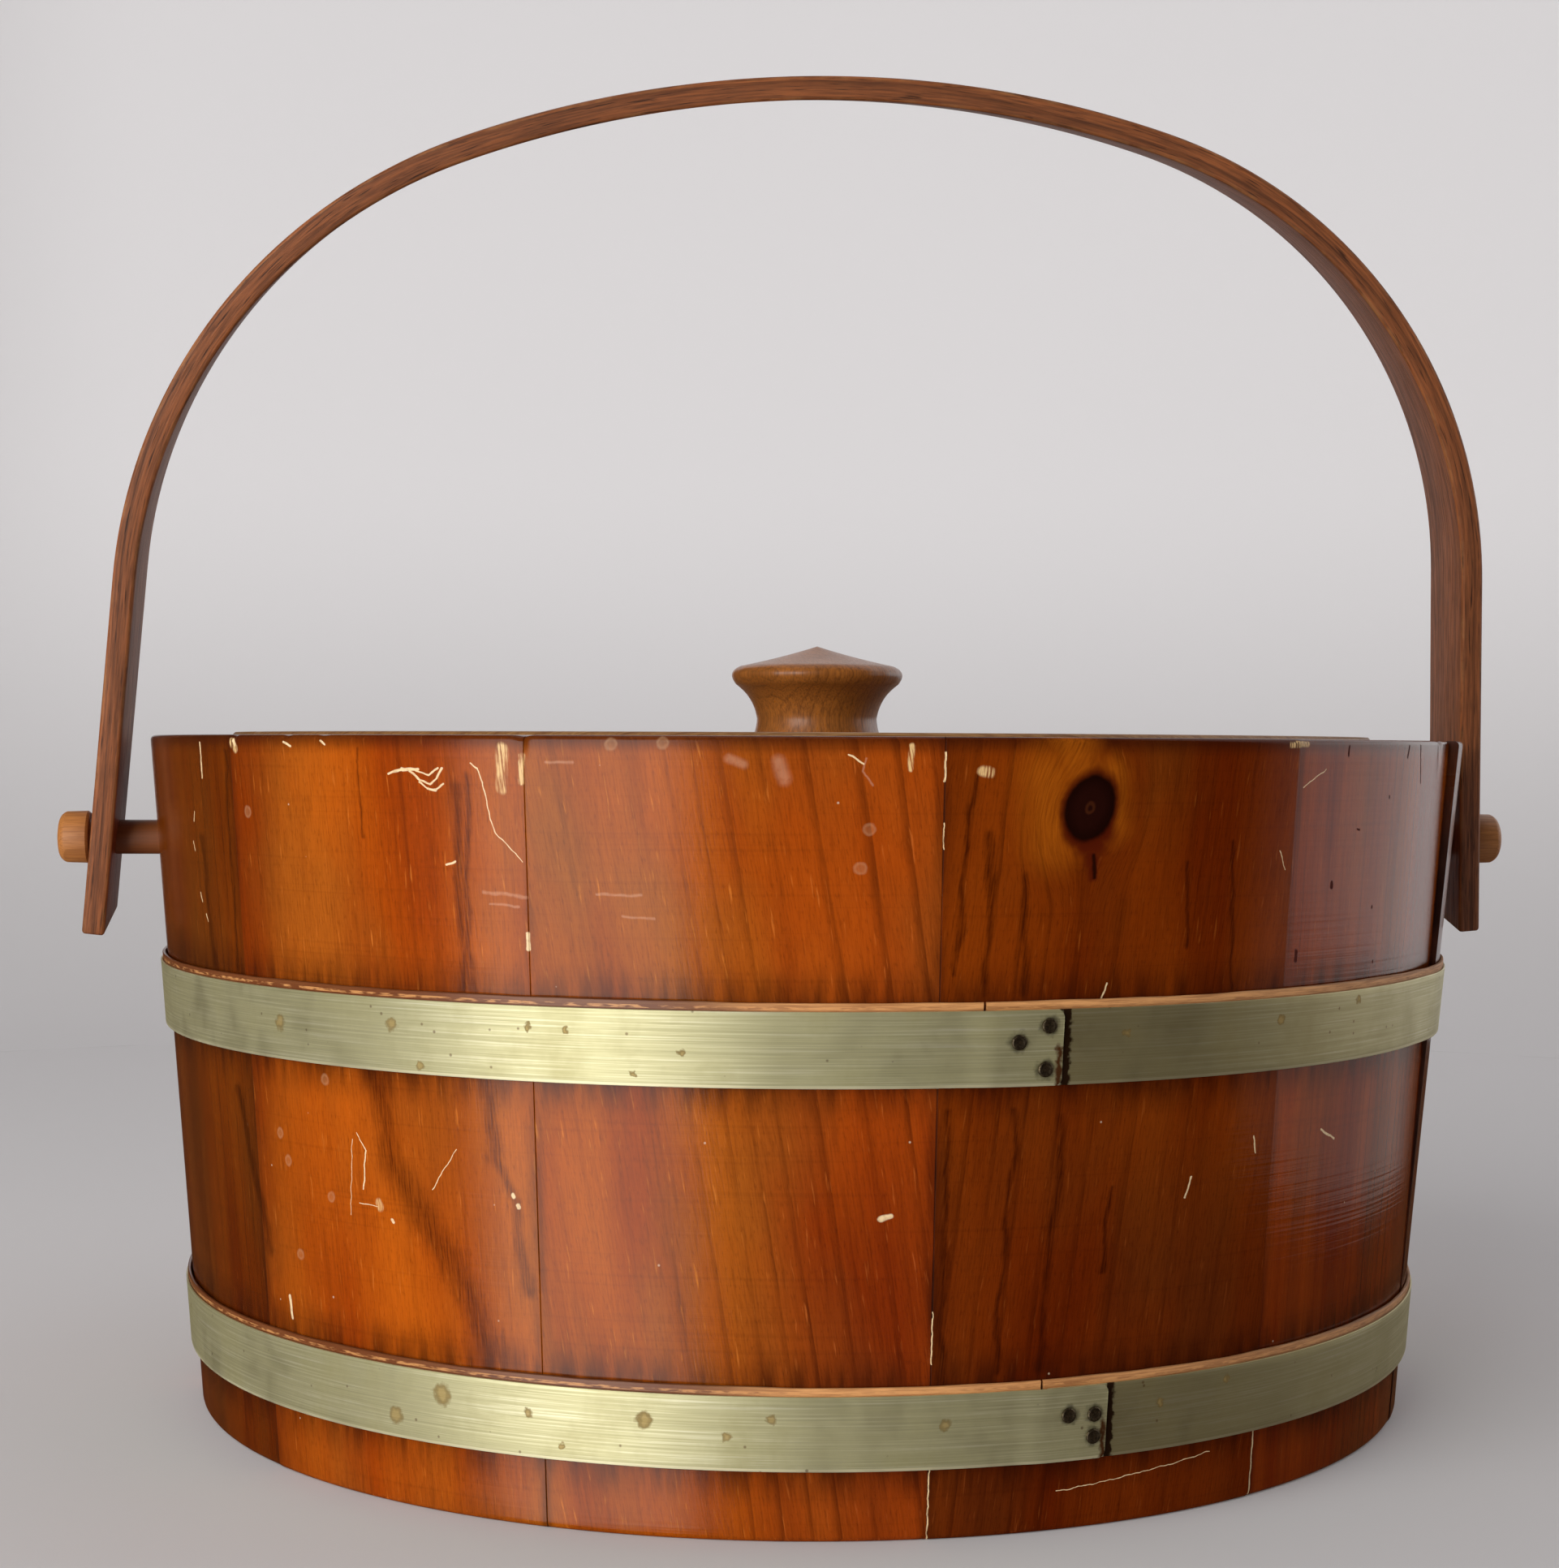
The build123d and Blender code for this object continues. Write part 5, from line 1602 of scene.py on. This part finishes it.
def studio_paper(stage):
    """Matt pale paper that glows faintly, more towards the top and the far right: painted light."""
    material, tree, shader = new_material("matt studio paper", Roughness=0.95, Specular_IOR_Level=0.1)
    place = add(tree, "TexCoord", out="Object")
    mottle = add(tree, "TexNoise", {"Vector": place, "Scale": 5.0, "Detail": 2.0})
    even = add(tree, "MapRange", {0: mottle, 4: 0.04})
    colour = coats(tree, tuple(stage.paper), (srgb("b8b6b7"), even))
    across, _, up = add(tree, "SeparateXYZ", {0: place}, None)
    # Painted light: the paper's glow rises upwards, dims at the left and grows at the far right
    upward = add(tree, "MapRange", {0: up, 1: 0.0, 2: 0.35, 3: 0.10, 4: 0.46}, **SMOOTH)
    sideways = add(tree, "MapRange", {0: across, 1: -0.6, 2: -0.3, 3: 0.3, 4: 1.0}, **SMOOTH)
    beside = add(tree, "MapRange", {0: across, 1: 0.65, 2: 1.0, 3: 1.0, 4: 2.2})
    glow = add(tree, "Math", {0: upward, 1: sideways}, operation="MULTIPLY")
    glow = add(tree, "Math", {0: glow, 1: beside}, operation="MULTIPLY")
    feed(shader, {"Base Color": colour, "Emission Color": colour, "Emission Strength": glow})
    return material


def panel_light(name, brightness, colour, width, height, place, aim):
    """Soft rectangular light of a given brightness, out of the camera's sight."""
    data = bpy.data.lights.new(name, "AREA")
    data.shape = "RECTANGLE"
    data.size = width
    data.size_y = height
    data.energy = brightness * math.pi * width * height
    data.color = colour
    lamp = bpy.data.objects.new(name, data)
    bpy.context.scene.collection.objects.link(lamp)
    lamp.location = place
    lamp.rotation_euler = (Vector(aim) - Vector(place)).to_track_quat("-Z", "Y").to_euler()
    lamp.visible_camera = False
    return lamp


def hang_paper(stage):
    """Floor and backdrop of one paper, in parts that light, shade and mirror in the object as each should."""
    paper = studio_paper(stage)
    flat, bend, tall = 0.75, 0.5, 2.2
    floor = sheet(
        "paper_floor", paper, [(0.0005, 0), (0.3, 0), (flat, 0)], start=0, turn=2 * math.pi, steps=96)
    floor.visible_glossy = False
    floor.visible_shadow = False
    curve = arc_points(Vector((flat, bend)), Vector((flat, 0)), Vector((flat + bend, bend)), 16)
    wall = [tuple(point) for point in curve] + [(flat + bend, tall)]
    sheet("paper_back", paper, wall, start=math.radians(-12.5), turn=math.radians(122.5), steps=48)
    left = sheet("paper_left", paper, wall, start=math.radians(110), turn=math.radians(81), steps=32)
    left.visible_glossy = False
    front = sheet("paper_front", paper, wall, start=math.radians(191), turn=math.radians(156.5), steps=64)
    front.visible_glossy = False
    front.visible_diffuse = False
    front.visible_shadow = False


def place_lights(stage):
    """Soft panels at the left, at the right and above, and a dim surround that is darker in reflections."""
    key_turn = math.radians(-90) - stage.key_angle
    away = 1.35
    left, near = away * math.cos(key_turn), away * math.sin(key_turn)
    warm, cool = (1.0, 0.985, 0.96), (0.97, 0.98, 1.0)
    panel_light(
        "key_panel", stage.key, warm, width=0.85, height=1.5, place=(left, near, -0.1), aim=(0, 0, -0.1))
    soft = panel_light(
        "soft_panel", stage.soft, warm, width=1.2, height=1.6, place=(left, near, 0.7), aim=(0, 0, 0.08))
    soft.visible_glossy = False
    side = panel_light(
        "side_panel", stage.side, warm, width=0.80, height=0.5, place=(0.7, 0.12, 0.15), aim=(0, 0.12, 0.15))
    side.visible_diffuse = False
    panel_light("top_panel", 0.4, cool, width=1.1, height=1.1, place=(0, 0.1, 1.5), aim=(0, 0, 0))

    world = bpy.data.worlds.new("soft surround")
    bpy.context.scene.world = world
    world.use_nodes = True
    tree = world.node_tree
    pale = tuple(stage.ambient * part for part in srgb("f4f2f0")[:3]) + (1,)
    mirrored = add(tree, "LightPath", out="Is Glossy Ray")
    feed(tree.nodes["Background"], {"Color": coats(tree, pale, (srgb("3a2c20"), mirrored))})


def place_camera(stage):
    """Camera at the photograph's place and angle."""
    data = bpy.data.cameras.new("camera")
    data.lens = stage.lens
    data.sensor_width = 36
    data.clip_start = 0.01
    camera = bpy.data.objects.new("camera", data)
    bpy.context.scene.collection.objects.link(camera)
    turn = Matrix.Rotation(-stage.yaw, 3, "Z")
    forward = turn @ Vector((
        math.sin(stage.pan) * math.cos(stage.pitch), math.cos(stage.pan) * math.cos(stage.pitch),
        math.sin(stage.pitch)))
    level = turn @ Vector((math.cos(stage.pan), -math.sin(stage.pan), 0))
    upright = level.cross(forward)
    right = level * math.cos(stage.roll) + upright * math.sin(stage.roll)
    up = upright * math.cos(stage.roll) - level * math.sin(stage.roll)
    camera.matrix_world = Matrix.Translation(turn @ Vector((0, -stage.distance, stage.height))) @ Matrix(
        (right, up, -forward)).transposed().to_4x4()
    bpy.context.scene.camera = camera


def build_stage(stage):
    """Pale floor and backdrop, soft lights, and the camera at the photograph's angle."""
    hang_paper(stage)
    place_lights(stage)
    place_camera(stage)
    bpy.context.scene.view_settings.view_transform = "Standard"


# Add-on classes

class FIRKIN_OT_staves(bpy.types.Operator):
    """Build the staves"""
    bl_idname = "firkin.staves"
    bl_label = "Staves"

    def execute(self, context):
        build_staves(context.scene.firkin_wall, context.scene.firkin_handle)
        return {"FINISHED"}


class FIRKIN_OT_bottom(bpy.types.Operator):
    """Build the bottom boards"""
    bl_idname = "firkin.bottom"
    bl_label = "Bottom"

    def execute(self, context):
        build_bottom()
        return {"FINISHED"}


class FIRKIN_OT_hoops(bpy.types.Operator):
    """Build the hoops and their backing strips"""
    bl_idname = "firkin.hoops"
    bl_label = "Hoops"

    def execute(self, context):
        build_hoops(context.scene.firkin_hoops, context.scene.firkin_wall)
        return {"FINISHED"}


class FIRKIN_OT_rivets(bpy.types.Operator):
    """Build the rivets of both hoops"""
    bl_idname = "firkin.rivets"
    bl_label = "Rivets"

    def execute(self, context):
        build_rivets(context.scene.firkin_hoops)
        return {"FINISHED"}


class FIRKIN_OT_pegs(bpy.types.Operator):
    """Build the two pegs"""
    bl_idname = "firkin.pegs"
    bl_label = "Pegs"

    def execute(self, context):
        build_pegs(context.scene.firkin_handle)
        return {"FINISHED"}


class FIRKIN_OT_handle(bpy.types.Operator):
    """Build the bent handle"""
    bl_idname = "firkin.handle"
    bl_label = "Handle"

    def execute(self, context):
        build_handle(context.scene.firkin_handle)
        return {"FINISHED"}


class FIRKIN_OT_lid(bpy.types.Operator):
    """Build the lid's boards and battens"""
    bl_idname = "firkin.lid"
    bl_label = "Lid"

    def execute(self, context):
        build_lid(context.scene.firkin_lid)
        return {"FINISHED"}


class FIRKIN_OT_knob(bpy.types.Operator):
    """Build the turned knob"""
    bl_idname = "firkin.knob"
    bl_label = "Knob"

    def execute(self, context):
        build_knob(context.scene.firkin_lid)
        return {"FINISHED"}


class FIRKIN_OT_screws(bpy.types.Operator):
    """Build the screws under the lid"""
    bl_idname = "firkin.screws"
    bl_label = "Screws"

    def execute(self, context):
        build_screws(context.scene.firkin_lid)
        return {"FINISHED"}


class FIRKIN_OT_stage(bpy.types.Operator):
    """Build the floor, backdrop, lights and camera"""
    bl_idname = "firkin.stage"
    bl_label = "Stage"

    def execute(self, context):
        build_stage(context.scene.firkin_stage)
        return {"FINISHED"}


OPERATORS = (
    FIRKIN_OT_staves, FIRKIN_OT_bottom, FIRKIN_OT_hoops, FIRKIN_OT_rivets, FIRKIN_OT_pegs, FIRKIN_OT_handle,
    FIRKIN_OT_lid, FIRKIN_OT_knob, FIRKIN_OT_screws, FIRKIN_OT_stage,
)
SETTINGS = {
    "firkin_wall": FirkinWall, "firkin_hoops": FirkinHoops, "firkin_handle": FirkinHandle,
    "firkin_lid": FirkinLid, "firkin_stage": FirkinStage,
}


class FIRKIN_PT_panel(bpy.types.Panel):
    """Lists what builds the firkin, with its sizes and colours"""
    bl_idname = "FIRKIN_PT_panel"
    bl_label = "Wooden firkin"
    bl_space_type = "VIEW_3D"
    bl_region_type = "UI"
    bl_category = "Firkin"

    def draw(self, context):
        for operator in OPERATORS:
            self.layout.operator(operator.bl_idname)
        for name, group in SETTINGS.items():
            settings = getattr(context.scene, name)
            box = self.layout.box()
            box.label(text=group.__doc__)
            for setting in group.__annotations__:
                box.prop(settings, setting)


CLASSES = (*SETTINGS.values(), *OPERATORS, FIRKIN_PT_panel)


def register():
    """Registers the classes and hangs the settings on the scene."""
    for kind in CLASSES:
        bpy.utils.register_class(kind)
    for name, group in SETTINGS.items():
        setattr(bpy.types.Scene, name, PointerProperty(type=group))


def unregister():
    """Takes back what register added."""
    for name in SETTINGS:
        delattr(bpy.types.Scene, name)
    for kind in reversed(CLASSES):
        bpy.utils.unregister_class(kind)


def main():
    """Builds every piece and the stage."""
    register()
    sawn_grain()
    stroke_mark()
    bpy.ops.firkin.staves()
    bpy.ops.firkin.bottom()
    bpy.ops.firkin.hoops()
    bpy.ops.firkin.rivets()
    bpy.ops.firkin.pegs()
    bpy.ops.firkin.handle()
    bpy.ops.firkin.lid()
    bpy.ops.firkin.knob()
    bpy.ops.firkin.screws()
    bpy.ops.firkin.stage()


if __name__ == "__main__":
    main()
